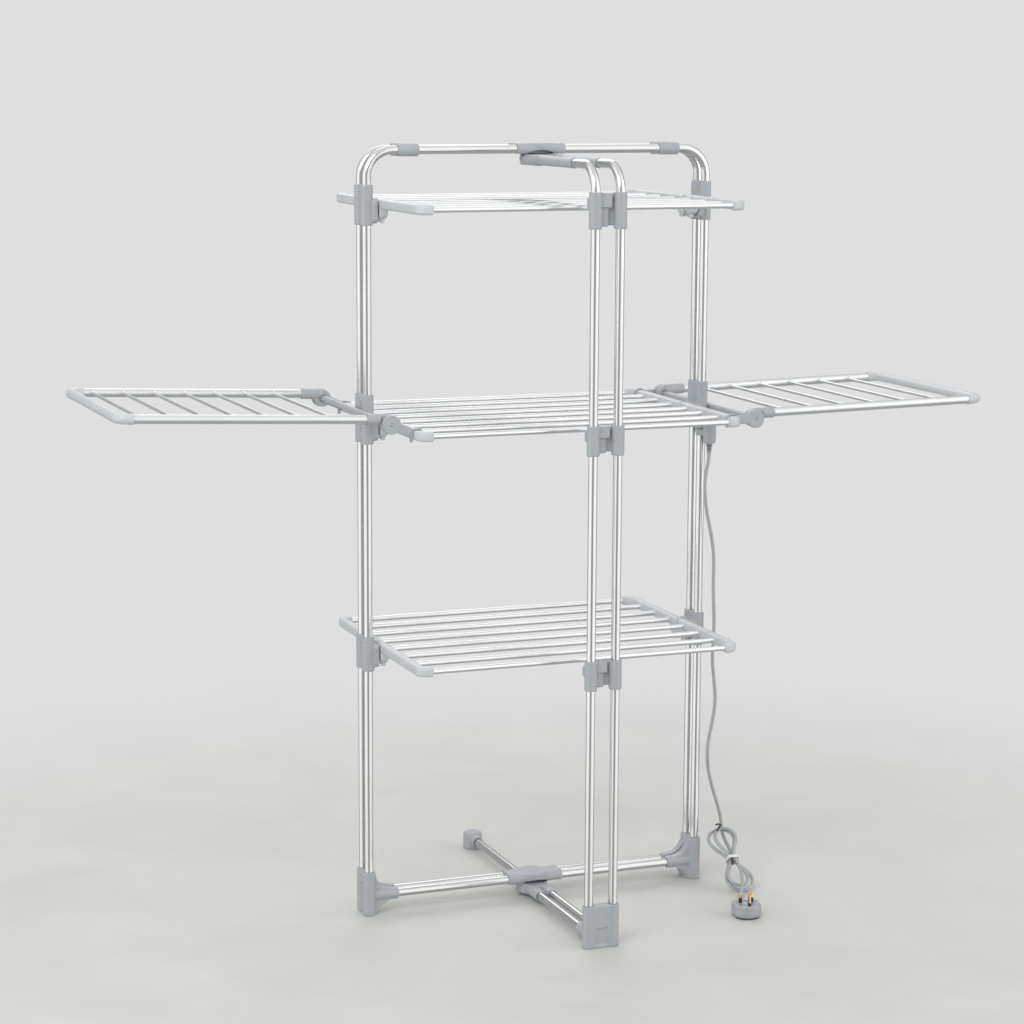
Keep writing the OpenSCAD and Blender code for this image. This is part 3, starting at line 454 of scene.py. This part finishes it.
def ring(radius, z, steps=48):
    """A ring of points; radius is a number, or a function of the angle in degrees."""
    angles = [360 * k / steps for k in range(steps)]
    reach = [radius(a) if callable(radius) else radius for a in angles]
    return [
        (r * math.cos(math.radians(a)), r * math.sin(math.radians(a)), z) for r, a in zip(reach, angles)
    ]


def turned(bm, profile, place, steps=24, start=True, end=True):
    """A turned piece from (radius, height) pairs."""
    loft(bm, [ring(r, z, steps) for r, z in profile], place, start, end)


def cross_outline(arm, half):
    """Outline of a cross recess as a radius over the angle."""
    def radius(angle):
        a = math.radians((angle + 45) % 90 - 45)
        near = arm / math.cos(a)
        side = half / abs(math.sin(a)) if abs(math.sin(a)) > 1e-6 else 1e9
        return min(near, side)
    return radius


def hexagon(flat):
    """Outline of a hexagon across its flats as a radius over the angle."""
    return lambda angle: flat / 2 / math.cos(math.radians((angle + 30) % 60 - 30))


def screw(bm, place):
    """A domed cross-head screw, its head's seat at the origin of place."""
    r = sizes().screw_radius / MM
    cross = cross_outline(0.56 * r, 0.15 * r)
    small = cross_outline(0.46 * r, 0.11 * r)
    loft(bm, [
        ring(r, -0.4), ring(r, 0.15 * r), ring(0.93 * r, 0.32 * r), ring(0.78 * r, 0.43 * r),
        ring(0.62 * r, 0.48 * r), ring(cross, 0.5 * r), ring(small, 0.12 * r),
    ], place)


def rounded_outline(width, length, radius, z, inset=0.0, steps=5):
    """A rectangle with round corners as a ring of points."""
    w, l, r = width / 2 - inset, length / 2 - inset, max(radius - inset, 0.05)
    points = []
    for quarter, (sx, sy) in enumerate(((1, 1), (-1, 1), (-1, -1), (1, -1))):
        for k in range(steps + 1):
            a = math.radians(90 * quarter + 90 * k / steps)
            points.append((sx * (w - r) + r * math.cos(a), sy * (l - r) + r * math.sin(a), z))
    return points


def sweep(bm, path, radius, sides, material):
    """A round tube along points in millimetres, with closed ends."""
    count = len(path)
    rows = []
    for i, p in enumerate(path):
        ahead = (Vector(path[min(i + 1, count - 1)]) - Vector(path[max(i - 1, 0)])).normalized()
        side = ahead.orthogonal().normalized() if i == 0 else (side - ahead * side.dot(ahead)).normalized()
        up = ahead.cross(side)
        rows.append([
            bm.verts.new((Vector(p) + radius * (math.cos(a) * side + math.sin(a) * up)) * MM)
            for a in (2 * math.pi * k / sides for k in range(sides))
        ])
    for a, b in zip(rows, rows[1:]):
        for k in range(sides):
            bm.faces.new((a[k], a[(k + 1) % sides], b[(k + 1) % sides], b[k])).material_index = material
    bm.faces.new(rows[0][::-1]).material_index = material
    bm.faces.new(rows[-1]).material_index = material


# The cord's route

def hank_frame(across, along, through):
    """A point given in the hank's own axes, in millimetres."""
    return HANK_AT + across * HANK_ACROSS + along * HANK_ALONG + through * HANK_THROUGH


def hank_point(i):
    """A point of the hank's cord, in millimetres."""
    k, s = divmod(i, HANK_HALF_STEPS)
    side = -1 if k % 2 == 0 else 1
    if s <= 6:
        a = 1 - s / 3
        w = HANK_LANE[k] - (HANK_LANE[k] - HANK_PINCH[k]) * (1 + math.cos(math.pi * a)) / 2
        x, y, level = side * w, -side * HANK_RUN * a, HANK_LEVEL[k]
    else:
        q = math.pi * (s - 6) / 6
        t = (1 - math.cos(q)) / 2
        w = HANK_LANE[k] + (HANK_LANE[k + 1] - HANK_LANE[k]) * t
        x, y = side * w * math.cos(q), side * (HANK_RUN + w * math.sin(q))
        level = HANK_LEVEL[k] + (HANK_LEVEL[k + 1] - HANK_LEVEL[k]) * t
    f = math.radians(HANK_FAN * max(0, 1 - level))
    return hank_frame(
        x * math.cos(f) + y * math.sin(f), y * math.cos(f) - x * math.sin(f), -HANK_LAYER * (level - 1))


def cord_route():
    """The whole cord's points in millimetres, from the strain relief to the plug."""
    step = HANK_ALONG * (sizes().cord_diameter / MM)
    hank = [hank_point(i) for i in range(HANK_FIRST, HANK_LAST + 1)]
    return (
        [Vector(p) for p in DROP_ROUTE] + [hank[0] + step] + hank + [hank[-1] - step]
        + [Vector(p) for p in LEAD_ROUTE] + [PLUG_ENTRY]
    )


class AIRER_OT_camera(bpy.types.Operator):
    """Place the camera at the photograph's angle"""
    bl_idname = "airer.place_camera"
    bl_label = "Camera"

    def execute(self, context):
        azimuth, pitch, roll = (math.radians(a) for a in CAMERA_TURN)
        ahead = Vector((
            math.sin(azimuth) * math.cos(pitch), math.cos(azimuth) * math.cos(pitch), -math.sin(pitch)))
        right = ahead.cross(Vector((0, 0, 1))).normalized()
        up = right.cross(ahead)
        right, up = (
            right * math.cos(roll) + up * math.sin(roll), up * math.cos(roll) - right * math.sin(roll))
        data = bpy.data.cameras.new("camera")
        data.sensor_width = 36
        data.lens = sizes().lens
        data.clip_start, data.clip_end = 0.05, 60
        camera = bpy.data.objects.new("camera", data)
        turn = Matrix((right, up, -ahead)).transposed().to_4x4()
        camera.matrix_world = Matrix.Translation(CAMERA_AT) @ turn
        context.scene.collection.objects.link(camera)
        context.scene.camera = camera
        return {"FINISHED"}


class AIRER_OT_cord(bpy.types.Operator):
    """Make the mains cord along its route, from the strain relief through the hank to the plug"""
    bl_idname = "airer.make_cord"
    bl_label = "Mains Cord"

    def execute(self, context):
        route = cord_route()
        curve = bpy.data.curves.new("mains_cord", "CURVE")
        curve.dimensions = "3D"
        curve.resolution_u = 4
        curve.bevel_depth = sizes().cord_diameter / 2
        curve.bevel_resolution = 4
        curve.use_fill_caps = True
        line = curve.splines.new("BEZIER")
        line.bezier_points.add(len(route) - 1)
        for point, at in zip(line.bezier_points, route):
            point.co = at * MM
            point.handle_left_type = point.handle_right_type = "AUTO"
        curve.materials.append(cord_sheath())
        cord = bpy.data.objects.new("mains_cord", curve)
        context.scene.collection.objects.link(cord)
        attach(cord, "main_frame")
        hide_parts("cord_drop", "cord_hank", "cord_lead")
        return {"FINISHED"}


class AIRER_OT_tie(bpy.types.Operator):
    """Make the ribbon tie round the hank's waist, with its twisted ends"""
    bl_idname = "airer.make_tie"
    bl_label = "Hank Tie"

    def execute(self, context):
        bm = bmesh.new()
        half_w, half_h, corner = 10.6, 11.3, 4.4
        outline = rounded_outline(2 * half_w, 2 * half_h, corner, 0, steps=6)
        outline = outline[3:] + outline[:3]
        turns = 2
        count = len(outline)
        # The ribbon's section: place along the hank, and height over the outline
        section = ((-2.0, 0.0), (-1.2, 0.6), (0, 0.8), (1.2, 0.6), (2.0, 0.0), (0, -0.1))
        rows = []
        for i in range(turns * count + 1):
            x, y, _ = outline[i % count]
            drift = -6.2 + 3.6 * i / (turns * count)
            out = Vector((x, y)).normalized()
            swell = 0.9 if i > count else 0.0
            rows.append([
                bm.verts.new(hank_frame(x + out.x * (t + swell), drift + w, y + out.y * (t + swell)) * MM)
                for w, t in section
            ])
        for a, b in zip(rows, rows[1:]):
            for k in range(len(section)):
                other = (k + 1) % len(section)
                bm.faces.new((a[k], a[other], b[other], b[k]))
        bm.faces.new(rows[0][::-1])
        bm.faces.new(rows[-1])
        # Its wire ends, wound in pairs: one hangs below the waist, one curls over the loops' top
        front = -half_h - 2.0
        tails = (
            (
                (7.0, -9, front + 0.6), (7.4, -13, front), (7.8, -17, front), (8.2, -21, front + 0.8),
                (8.6, -23.5, front + 1.6),
            ),
            (
                (15, 57, -10), (12, 61, -12), (9, 64, -13), (5, 67, -12), (4, 71, -9), (7, 74.5, -6),
                (10.5, 73, -5),
            ),
        )
        for tail in tails:
            for phase in (0, math.pi):
                sweep(bm, self.strand([hank_frame(*at) for at in tail], phase), 1.3, 8, 1)
        new_piece(
            "hank_ribbon", bm, "main_frame", [tie_ribbon(), tie_end()], ["hank_tie"],
            sharp=50,
        )
        return {"FINISHED"}

    def strand(self, line, phase):
        """One of two strands that wind round a line of points."""
        steps, lay, half_turns = 24, 1.4, 5
        path = []
        for i in range(steps + 1):
            span, t = divmod(i * (len(line) - 1) / steps, 1)
            k = min(int(span), len(line) - 2)
            at = line[k].lerp(line[k + 1], t if k == span else 1)
            a = phase + half_turns * math.pi * i / steps
            path.append(at + HANK_ACROSS * (lay * math.cos(a)) + HANK_THROUGH * (lay * math.sin(a)))
        return path


def plug_outline(z, inset):
    """The plug's outline, straight sides and a round front, as a ring of points."""
    width, length, front_r, back_r = 50, 50, 27, 7
    w, top, low = width / 2, length / 2, -length / 2
    start = math.degrees(math.asin(w / front_r))
    points = []
    for k in range(25):
        a = math.radians(-start + 2 * start * k / 24)
        points.append((front_r * math.sin(a), low + front_r - front_r * math.cos(a)))
    for k in range(7):
        a = math.radians(15 * k)
        points.append((w - back_r + back_r * math.cos(a), top - back_r + back_r * math.sin(a)))
    for k in range(7):
        a = math.radians(90 + 15 * k)
        points.append((-w + back_r + back_r * math.cos(a), top - back_r + back_r * math.sin(a)))
    return [(x * (1 - inset / w), y * (1 - inset / top), z) for x, y in points]


class AIRER_OT_plug(bpy.types.Operator):
    """Make the three-pin plug with its seam, fuse carrier, cord grip and sleeved pins"""
    bl_idname = "airer.make_plug"
    bl_label = "Plug"

    def execute(self, context):
        bm = bmesh.new()
        here = Matrix.Translation(PLUG_AT * MM) @ Matrix.Rotation(math.radians(PLUG_TURN), 4, "Z")
        loft(bm, [
            plug_outline(z, inset) for z, inset in (
                (3.4, 1.3), (3.7, 0.7), (4.6, 0.3), (6.0, 0.1), (9.2, 0.0), (9.5, 0.45), (10.1, 0.45),
                (10.4, 0.0), (20.0, 0.1), (23.6, 0.3), (24.5, 0.8), (24.9, 1.4), (PLUG_TOP, 2.2))
        ], here)
        # Painted shadow: a dark base plate set in under the case, where the plug meets the floor
        loft(bm, [
            plug_outline(z, inset) for z, inset in ((0.0, 3.2), (0.6, 2.4), (1.6, 1.8), (3.8, 1.6))
        ], here, material=1)
        # Fuse carrier: a plate in a shallow frame on the pins' face
        for w, l, r, low, high, inset in ((13, 27, 2.5, 24.6, 25.25, 0.3), (10, 24, 1.8, 24.8, 25.6, 0.5)):
            loft(bm, [
                rounded_outline(w, l, r, low), rounded_outline(w, l, r, high - 0.3),
                rounded_outline(w, l, r, high, inset),
            ], here @ Matrix.Translation((0, 0.008, 0)))
        loft(bm, [
            rounded_outline(5.5, 1.2, 0.5, 25.5), rounded_outline(5.5, 1.2, 0.5, 26.0, 0.2),
        ], here @ Matrix.Translation((0, 0.017, 0)))
        # Ribbed grip where the cord enters
        grip = here @ placed((0, 23.5, 11), (0, 1, 0))
        profile = [(8.4, 0)]
        for i in range(4):
            r, y = 7.6 - 0.75 * i, 1.6 + 3.0 * i
            profile += [(r, y), (r, y + 1.4), (r - 1.1, y + 1.8), (r - 1.1, y + 2.7)]
        profile += [(4.2, 13.9), (3.6, 14.4)]
        turned(bm, profile, grip, 32)
        new_piece(
            "plug_case", bm, "main_frame", [plug_case(), shade_paint()], ["plug_body"])

        bm = bmesh.new()
        # Each pin's place, width, depth, length and the length of its sleeve: two blades and the earth pin
        pins = ((-11.1, 8, 6.2, 4, 17.7, 9.5), (11.1, 8, 6.2, 4, 17.7, 9.5), (0, -14.1, 4, 8, 22.7, 6.0))
        for x, y, w, l, top, sleeve in pins:
            pin = here @ placed((x, y, PLUG_TOP))
            loft(bm, [
                rounded_outline(w, l, 0.5, z, inset, 3) for z, inset in (
                    (-6, 0.12), (top - 2.4, 0.12), (top - 1.2, 0.5), (top - 0.3, 1.0), (top, 1.4))
            ], pin)
            loft(bm, [
                rounded_outline(w, l, 0.6, z, inset, 3) for z, inset in (
                    (-5, 0.0), (sleeve - 0.5, 0.0), (sleeve, 0.1))
            ], pin, material=1)
        new_piece(
            "plug_blades", bm, "main_frame", [brass_pin(), pin_sleeve()], ["plug_pins"])
        return {"FINISHED"}


class AIRER_OT_tubes(bpy.types.Operator):
    """Finish the frame's tubes, the shelf rods and the wings' tubes and rods"""
    bl_idname = "airer.finish_tubes"
    bl_label = "Tubes and Rods"

    def execute(self, context):
        tubes = {
            "side_posts": "z", "front_posts": "z", "top_bars": "x", "base_bars": "x", "front_arms": "y",
            "front_base_tubes": "y", "rear_leg": "y",
        }
        for name, axis in tubes.items():
            dress(name, anodised_tube(axis))
            smooth_round(name)
        for level in LEVELS:
            for side in SIDES:
                dress(f"{level}_{side}_rods", drawn_rod("x"))
                smooth_round(f"{level}_{side}_rods")
                dress(f"{level}_{side}_heaters", silicone_sleeve())
        for wing in WINGS:
            dress(f"{wing}_wing_tubes", lacquered_wing("x"))
            dress(f"{wing}_wing_rods", lacquered_wing("y"))
            smooth_round(f"{wing}_wing_tubes")
            smooth_round(f"{wing}_wing_rods")
        dress("shelf_pins", plated_steel())
        smooth_round("shelf_pins")
        return {"FINISHED"}


class AIRER_OT_mouldings(bpy.types.Operator):
    """Finish the feet, hubs, brackets, couplers, rails, hooks and the connection housing"""
    bl_idname = "airer.finish_mouldings"
    bl_label = "Mouldings"

    def execute(self, context):
        soft = [
            "side_feet", "front_foot", "rear_foot", "top_hub", "base_hub", "top_swivel", "base_swivel",
            "left_brackets", "right_brackets", "front_brackets", "left_hooks", "right_hooks",
            "left_wing_knuckles", "right_wing_knuckles", "power_housing",
        ]
        plain = [
            "bar_couplers", "front_couplers", "left_hinge_bar", "right_hinge_bar", "strain_relief",
        ]
        for name in soft:
            dress(name, moulded_abs())
            soften(name)
        for name in plain:
            dress(name, moulded_abs())
            smooth_round(name)
        for wing in WINGS:
            dress(f"{wing}_wing_end", moulded_rail())
            smooth_round(f"{wing}_wing_end")
        for level in LEVELS:
            for side in SIDES:
                dress(f"{level}_{side}_rails", moulded_rail())
                soften(f"{level}_{side}_rails", 0.0013, 4)
        # Painted shade: dark bands in the grooves of the strain relief
        bm = bmesh.new()
        for i in range(4):
            r, z = RELIEF_R - 0.5 * i - 1.1, 2.0 + 3.5 * i
            band = [(r - 0.4, z), (r, z), (r, z + 1.4), (r - 0.4, z + 1.4)]
            turned(bm, band, placed(RELIEF_TOP, (0, 0, -1)))
        new_piece("relief_groove_shade", bm, "main_frame", shade_paint())
        dress("terminal_block", terminal_nylon())
        return {"FINISHED"}


class AIRER_OT_hub_bolts(bpy.types.Operator):
    """Make the hubs' pivot bolts with their hex sockets, washers and nuts"""
    bl_idname = "airer.make_hub_bolts"
    bl_label = "Hub Bolts"

    def execute(self, context):
        bm = bmesh.new()
        socket, nut = hexagon(5), hexagon(11.6)
        for z in (BASE_Z, TOP_Z):
            head = placed((0, 0, z))
            loft(bm, [
                ring(4, -LAYER_DROP - 10), ring(4, 8.3), ring(8, 8.3), ring(8, 9.4), ring(7.6, 10.1),
                ring(6.6, 10.55), ring(4.2, 10.6), ring(socket, 10.6), ring(socket, 7.6),
            ], head)
            loft(bm, [
                ring(nut, -LAYER_DROP - 8.4), ring(nut, -LAYER_DROP - 9.9),
                ring(lambda angle: min(nut(angle), 6.1), -LAYER_DROP - 10.2),
            ], head)
        new_piece("pivot_bolts", bm, "main_frame", plated_steel(), ["hub_bolts"], sharp=30)
        bm = bmesh.new()
        turned(bm, [
            (9.6, 8.0), (9.6, 9.6), (9.2, 10.6), (8.2, 11.3), (6.5, 11.8), (4, 12.1), (1.5, 12.2),
        ], placed((0, 0, BASE_Z)), 48)
        new_piece("base_hub_cap", bm, "main_frame", moulded_abs())
        return {"FINISHED"}


class AIRER_OT_shelf_trim(bpy.types.Operator):
    """Make the collars where the rods enter the rails, and the pips on the rails' outer faces"""
    bl_idname = "airer.make_shelf_trim"
    bl_label = "Shelf Trim"

    def execute(self, context):
        # Where the collars, pips and elbow rings sit, out from the middle of the shelf
        collar_x, pip_x, elbow_x = RAIL_IN + 0.5, RAIL_OUT - 0.4, RAIL_IN - 10
        inner_rods = [ROD_FIRST + i * ROD_PITCH for i in range(3)]
        outer_rod = ROD_FIRST + 3 * ROD_PITCH
        for level in LEVELS:
            z = SHELF_Z[level]
            for side in SIDES:
                bm = bmesh.new()
                away = -1 if side == "front" else 1
                for hand in (-1, 1):
                    for y in inner_rods:
                        collar = placed((hand * collar_x, away * y, z), (-hand, 0, 0))
                        turned(bm, [
                            (5.05, 0), (7.2, 0), (7.2, 1.6), (6.7, 2.6), (5.9, 3.4), (5.05, 3.6),
                        ], collar, 32, start=False, end=False)
                        pip = placed((hand * pip_x, away * y, z), (hand, 0, 0))
                        turned(bm, [(3.4, 0), (3.4, 0.7), (3.0, 1.0), (1.6, 1.1), (1.2, 0.8)], pip)
                    elbow = placed((hand * elbow_x, away * outer_rod, z), (-hand, 0, 0))
                    turned(bm, [
                        (5.05, -1), (8.3, -1), (8.4, 0.3), (7.9, 1.2), (6.4, 1.9), (5.05, 2.0),
                    ], elbow, 32, start=False, end=False)
                new_piece(
                    f"{level}_{side}_rail_trim", bm, f"{level}_{side}", moulded_rail(),
                    sharp=50,
                )
        return {"FINISHED"}


def wing_point(wing, x, y, z):
    """A point in a wing's own axes as a point of the airer, in millimetres."""
    rise = math.radians(WING_RISE[wing])
    out = WING_X + x * math.cos(rise) - z * math.sin(rise)
    return (HAND[wing] * out, y, WING_Z[wing] + x * math.sin(rise) + z * math.cos(rise))


class AIRER_OT_wing_trim(bpy.types.Operator):
    """Make the welded seats of the wings' rods, the hinge rivets and the hooks' studs"""
    bl_idname = "airer.make_wing_trim"
    bl_label = "Wing Trim"

    def execute(self, context):
        for wing in WINGS:
            bm = bmesh.new()
            for i in range(WING_RODS[wing]):
                x = WING_FIRST[wing] + i * WING_PITCH[wing]
                for s in (-1, 1):
                    seat = placed(wing_point(wing, x, s * (WING_Y - 8.6), WING_LIFT), (0, -s, 0))
                    turned(bm, [(4.9, -1.5), (4.6, 0.6), (3.9, 1.8), (3.3, 3.2), (2.95, 4.4)], seat)
            new_piece(f"{wing}_rod_seats", bm, f"{wing}_wing", lacquered_wing("y"), sharp=60)
            bm = bmesh.new()
            for s in (-1, 1):
                stud = placed((HAND[wing] * WING_X, s * (HOOK_OUT - 2.6), WING_Z[wing]), (0, s, 0))
                turned(bm, [(2.45, 0), (2.45, 1.2), (2.1, 1.9), (1.2, 2.3), (0.4, 2.4)], stud)
            new_piece(f"{wing}_hinge_studs", bm, "main_frame", plated_steel(), sharp=60)
        return {"FINISHED"}


class AIRER_OT_screws(bpy.types.Operator):
    """Make the cross-head screws of the brackets and feet"""
    bl_idname = "airer.make_screws"
    bl_label = "Screws"

    def execute(self, context):
        # The faces that the screws sit on, out from the posts' line
        bracket_face, foot_face, front_face = 6.9, 8.8, 10.4
        # A screw's distance from a bracket's end, and the height of a foot's screw
        inset, foot_z = 11, 62
        bm = bmesh.new()
        for hand in (-1, 1):
            for level in LEVELS:
                z = SHELF_Z[level]
                for at in (z + BRACKET_UP[level] - inset, z - BRACKET_DOWN[level] + inset):
                    screw(bm, placed((hand * (POST_X + bracket_face), 0, at), (hand, 0, 0), 20))
            screw(bm, placed((hand * (POST_X + foot_face), 0, foot_z), (hand, 0, 0), 35))
        new_piece("side_screws", bm, "main_frame", plated_steel())
        bm = bmesh.new()
        for level in LEVELS:
            top = SHELF_Z[level] + FRONT_BRACKET_UP[level]
            for down, turn in ((22, 15), (40, 50)):
                screw(bm, placed((0, front_face - FRONT_Y, top - down), (0, 1, 0), turn))
        new_piece("front_screws", bm, "front_frame", plated_steel())
        return {"FINISHED"}


class AIRER_OT_stage(bpy.types.Operator):
    """Make the pale studio floor, the soft lights and the pale distance"""
    bl_idname = "airer.make_stage"
    bl_label = "Studio"

    def execute(self, context):
        bm = bmesh.new()
        bmesh.ops.create_circle(bm, cap_ends=True, radius=sizes().floor_radius, segments=96)
        mesh = bpy.data.meshes.new("studio_floor")
        bm.to_mesh(mesh)
        bm.free()
        floor = bpy.data.objects.new("studio_floor", mesh)
        context.scene.collection.objects.link(floor)
        # A hair below the feet, so that no two faces lie in one plane
        floor.location.z = -0.0003
        mesh.materials.append(self.floor_paint())
        self.sky(context)
        lamps = (
            ("key", (-2.6, -2.4, 3.4), (0.1, 0, 0.6), 2.6, 62),
            ("fill", (3.4, -2.2, 2.2), (0, 0, 0.7), 2.4, 26),
            ("back", (0.6, 3.2, 3.0), (0, 0, 0.8), 2.8, 30),
        )
        for name, at, aim, size, power in lamps:
            data = bpy.data.lights.new(name, "AREA")
            data.shape = "DISK"
            data.size = size
            data.energy = power
            lamp = bpy.data.objects.new(name, data)
            lamp.location = at
            lamp.rotation_mode = "QUATERNION"
            lamp.rotation_quaternion = (Vector(aim) - Vector(at)).to_track_quat("-Z", "Y")
            context.scene.collection.objects.link(lamp)
        context.scene.view_settings.view_transform = "Standard"
        return {"FINISHED"}

    def floor_paint(self):
        # Painted studio floor: pale, faintly scuffed, and it fades into the pale distance
        paint = bpy.data.materials.new("painted_studio_floor")
        paint.use_nodes = True
        tree = paint.node_tree
        tree.nodes.clear()
        place = node(tree, "ShaderNodeTexCoord").outputs["Object"]
        scuff = node(
            tree, "ShaderNodeTexNoise", {"Scale": 3.0, "Detail": 6.0, "Roughness": 0.6, "Distortion": 0.6},
            {"Vector": place},
        )
        base = linear(colours().floor)
        shades = node(tree, "ShaderNodeValToRGB", links={"Fac": scuff.outputs["Fac"]})
        shades.color_ramp.elements[0].position, shades.color_ramp.elements[1].position = 0.35, 0.7
        shades.color_ramp.elements[0].color = tuple(c * 0.93 for c in base[:3]) + (1,)
        shades.color_ramp.elements[1].color = tuple(min(1, c * 1.03) for c in base[:3]) + (1,)
        bsdf = node(
            tree, "ShaderNodeBsdfPrincipled", {"Roughness": 0.6, "IOR": 1.45},
            {"Base Color": shades.outputs["Color"]},
        )
        glow = node(tree, "ShaderNodeEmission", {"Color": linear(colours().backdrop), "Strength": 1.0})
        distance = node(tree, "ShaderNodeVectorMath", links={0: place}, operation="LENGTH")
        fade = node(
            tree, "ShaderNodeMapRange", {"From Min": 0.45, "From Max": 2.3},
            {"Value": distance.outputs["Value"]}, interpolation_type="SMOOTHSTEP",
        )
        # Shiny faces look through it to the studio's dim lower half
        rays = node(tree, "ShaderNodeLightPath")
        clear = node(tree, "ShaderNodeBsdfTransparent")
        far = node(
            tree, "ShaderNodeMixShader",
            links={0: rays.outputs["Is Glossy Ray"], 1: glow.outputs["Emission"], 2: clear.outputs["BSDF"]},
        )
        seen = node(
            tree, "ShaderNodeMath", links={0: rays.outputs["Is Camera Ray"], 1: fade.outputs["Result"]},
            operation="MULTIPLY",
        )
        both = node(
            tree, "ShaderNodeMath", links={0: seen.outputs["Value"], 1: rays.outputs["Is Glossy Ray"]},
            operation="MAXIMUM",
        )
        mixed = node(
            tree, "ShaderNodeMixShader",
            links={0: both.outputs["Value"], 1: bsdf.outputs["BSDF"], 2: far.outputs["Shader"]},
        )
        node(tree, "ShaderNodeOutputMaterial", links={"Surface": mixed.outputs["Shader"]})
        return paint

    def sky(self, context):
        # An even soft light; the camera sees the pale distance, and shiny faces see the studio's walls
        world = bpy.data.worlds.new("studio")
        world.use_nodes = True
        context.scene.world = world
        tree = world.node_tree
        tree.nodes.clear()
        light = node(tree, "ShaderNodeBackground", {"Color": (1, 1, 1, 1), "Strength": 0.70})
        seen = node(tree, "ShaderNodeBackground", {"Color": linear(colours().backdrop), "Strength": 1.0})
        # Bright walls left and right of the camera, a half-bright ceiling, and dim behind, beyond and below
        way = node(tree, "ShaderNodeTexCoord").outputs["Generated"]
        turn = math.radians(CAMERA_TURN[0])

        def toward(direction, low, high, absolute=False, falling=False):
            """0 to 1 as the way looked along turns from low to high towards a direction."""
            value = node(
                tree, "ShaderNodeVectorMath", {1: direction}, {0: way}, operation="DOT_PRODUCT",
            ).outputs["Value"]
            if absolute:
                value = node(
                    tree, "ShaderNodeMath", links={0: value}, operation="ABSOLUTE").outputs["Value"]
            start, end = (1.0, 0.0) if falling else (0.0, 1.0)
            return node(
                tree, "ShaderNodeMapRange",
                {"From Min": low, "From Max": high, "To Min": start, "To Max": end}, {"Value": value},
                interpolation_type="SMOOTHSTEP",
            ).outputs["Result"]

        beside = toward((math.cos(turn), -math.sin(turn), 0), 0.25, 0.6, absolute=True)
        before = toward((math.sin(turn), math.cos(turn), 0), 0.05, 0.55, falling=True)
        above = toward((0, 0, 1), 0.45, 0.8)
        foot = toward((0, 0, 1), -0.5, -0.22)
        sides = node(tree, "ShaderNodeMath", links={0: beside, 1: before}, operation="MULTIPLY")
        walls = node(
            tree, "ShaderNodeMath", links={0: sides.outputs["Value"], 1: foot}, operation="MULTIPLY")
        ceiling = node(tree, "ShaderNodeMath", {1: 0.55}, {0: above}, operation="MULTIPLY")
        bright = node(
            tree, "ShaderNodeMath", links={0: walls.outputs["Value"], 1: ceiling.outputs["Value"]},
            operation="MAXIMUM",
        )
        power = node(
            tree, "ShaderNodeMapRange", {"To Min": 0.48, "To Max": 1.55},
            {"Value": bright.outputs["Value"]},
        )
        studio = node(
            tree, "ShaderNodeBackground", {"Color": (1, 1, 0.985, 1)},
            {"Strength": power.outputs["Result"]},
        )
        rays = node(tree, "ShaderNodeLightPath")
        through = node(
            tree, "ShaderNodeMath",
            links={0: rays.outputs["Is Camera Ray"], 1: rays.outputs["Is Transmission Ray"]},
            operation="MAXIMUM",
        )
        unseen = node(
            tree, "ShaderNodeMixShader",
            links={
                0: rays.outputs["Is Glossy Ray"], 1: light.outputs["Background"],
                2: studio.outputs["Background"],
            },
        )
        mixed = node(
            tree, "ShaderNodeMixShader",
            links={0: through.outputs["Value"], 1: unseen.outputs["Shader"], 2: seen.outputs["Background"]},
        )
        node(tree, "ShaderNodeOutputWorld", links={"Surface": mixed.outputs["Shader"]})


OPERATORS = (
    AIRER_OT_camera, AIRER_OT_tie, AIRER_OT_plug, AIRER_OT_cord, AIRER_OT_tubes, AIRER_OT_mouldings,
    AIRER_OT_hub_bolts, AIRER_OT_shelf_trim, AIRER_OT_wing_trim, AIRER_OT_screws, AIRER_OT_stage,
)


class AIRER_PT_panel(bpy.types.Panel):
    """The airer's pieces, sizes and colours"""
    bl_label = "Heated Airer"
    bl_idname = "AIRER_PT_panel"
    bl_space_type = "VIEW_3D"
    bl_region_type = "UI"
    bl_category = "Airer"

    def draw(self, context):
        for group in (context.scene.airer_sizes, context.scene.airer_colours):
            box = self.layout.box()
            for name in group.__annotations__:
                box.prop(group, name)
        for operator in OPERATORS:
            self.layout.operator(operator.bl_idname)


CLASSES = (AirerSizes, AirerColours, *OPERATORS, AIRER_PT_panel)


def register():
    for made in CLASSES:
        bpy.utils.register_class(made)
    bpy.types.Scene.airer_sizes = PointerProperty(type=AirerSizes)
    bpy.types.Scene.airer_colours = PointerProperty(type=AirerColours)


def unregister():
    del bpy.types.Scene.airer_colours
    del bpy.types.Scene.airer_sizes
    for made in reversed(CLASSES):
        bpy.utils.unregister_class(made)


def main():
    register()
    bpy.ops.airer.place_camera()
    bpy.ops.airer.make_tie()
    bpy.ops.airer.make_plug()
    bpy.ops.airer.make_cord()
    bpy.ops.airer.finish_tubes()
    bpy.ops.airer.finish_mouldings()
    bpy.ops.airer.make_hub_bolts()
    bpy.ops.airer.make_shelf_trim()
    bpy.ops.airer.make_wing_trim()
    bpy.ops.airer.make_screws()
    bpy.ops.airer.make_stage()


if __name__ == "__main__":
    main()
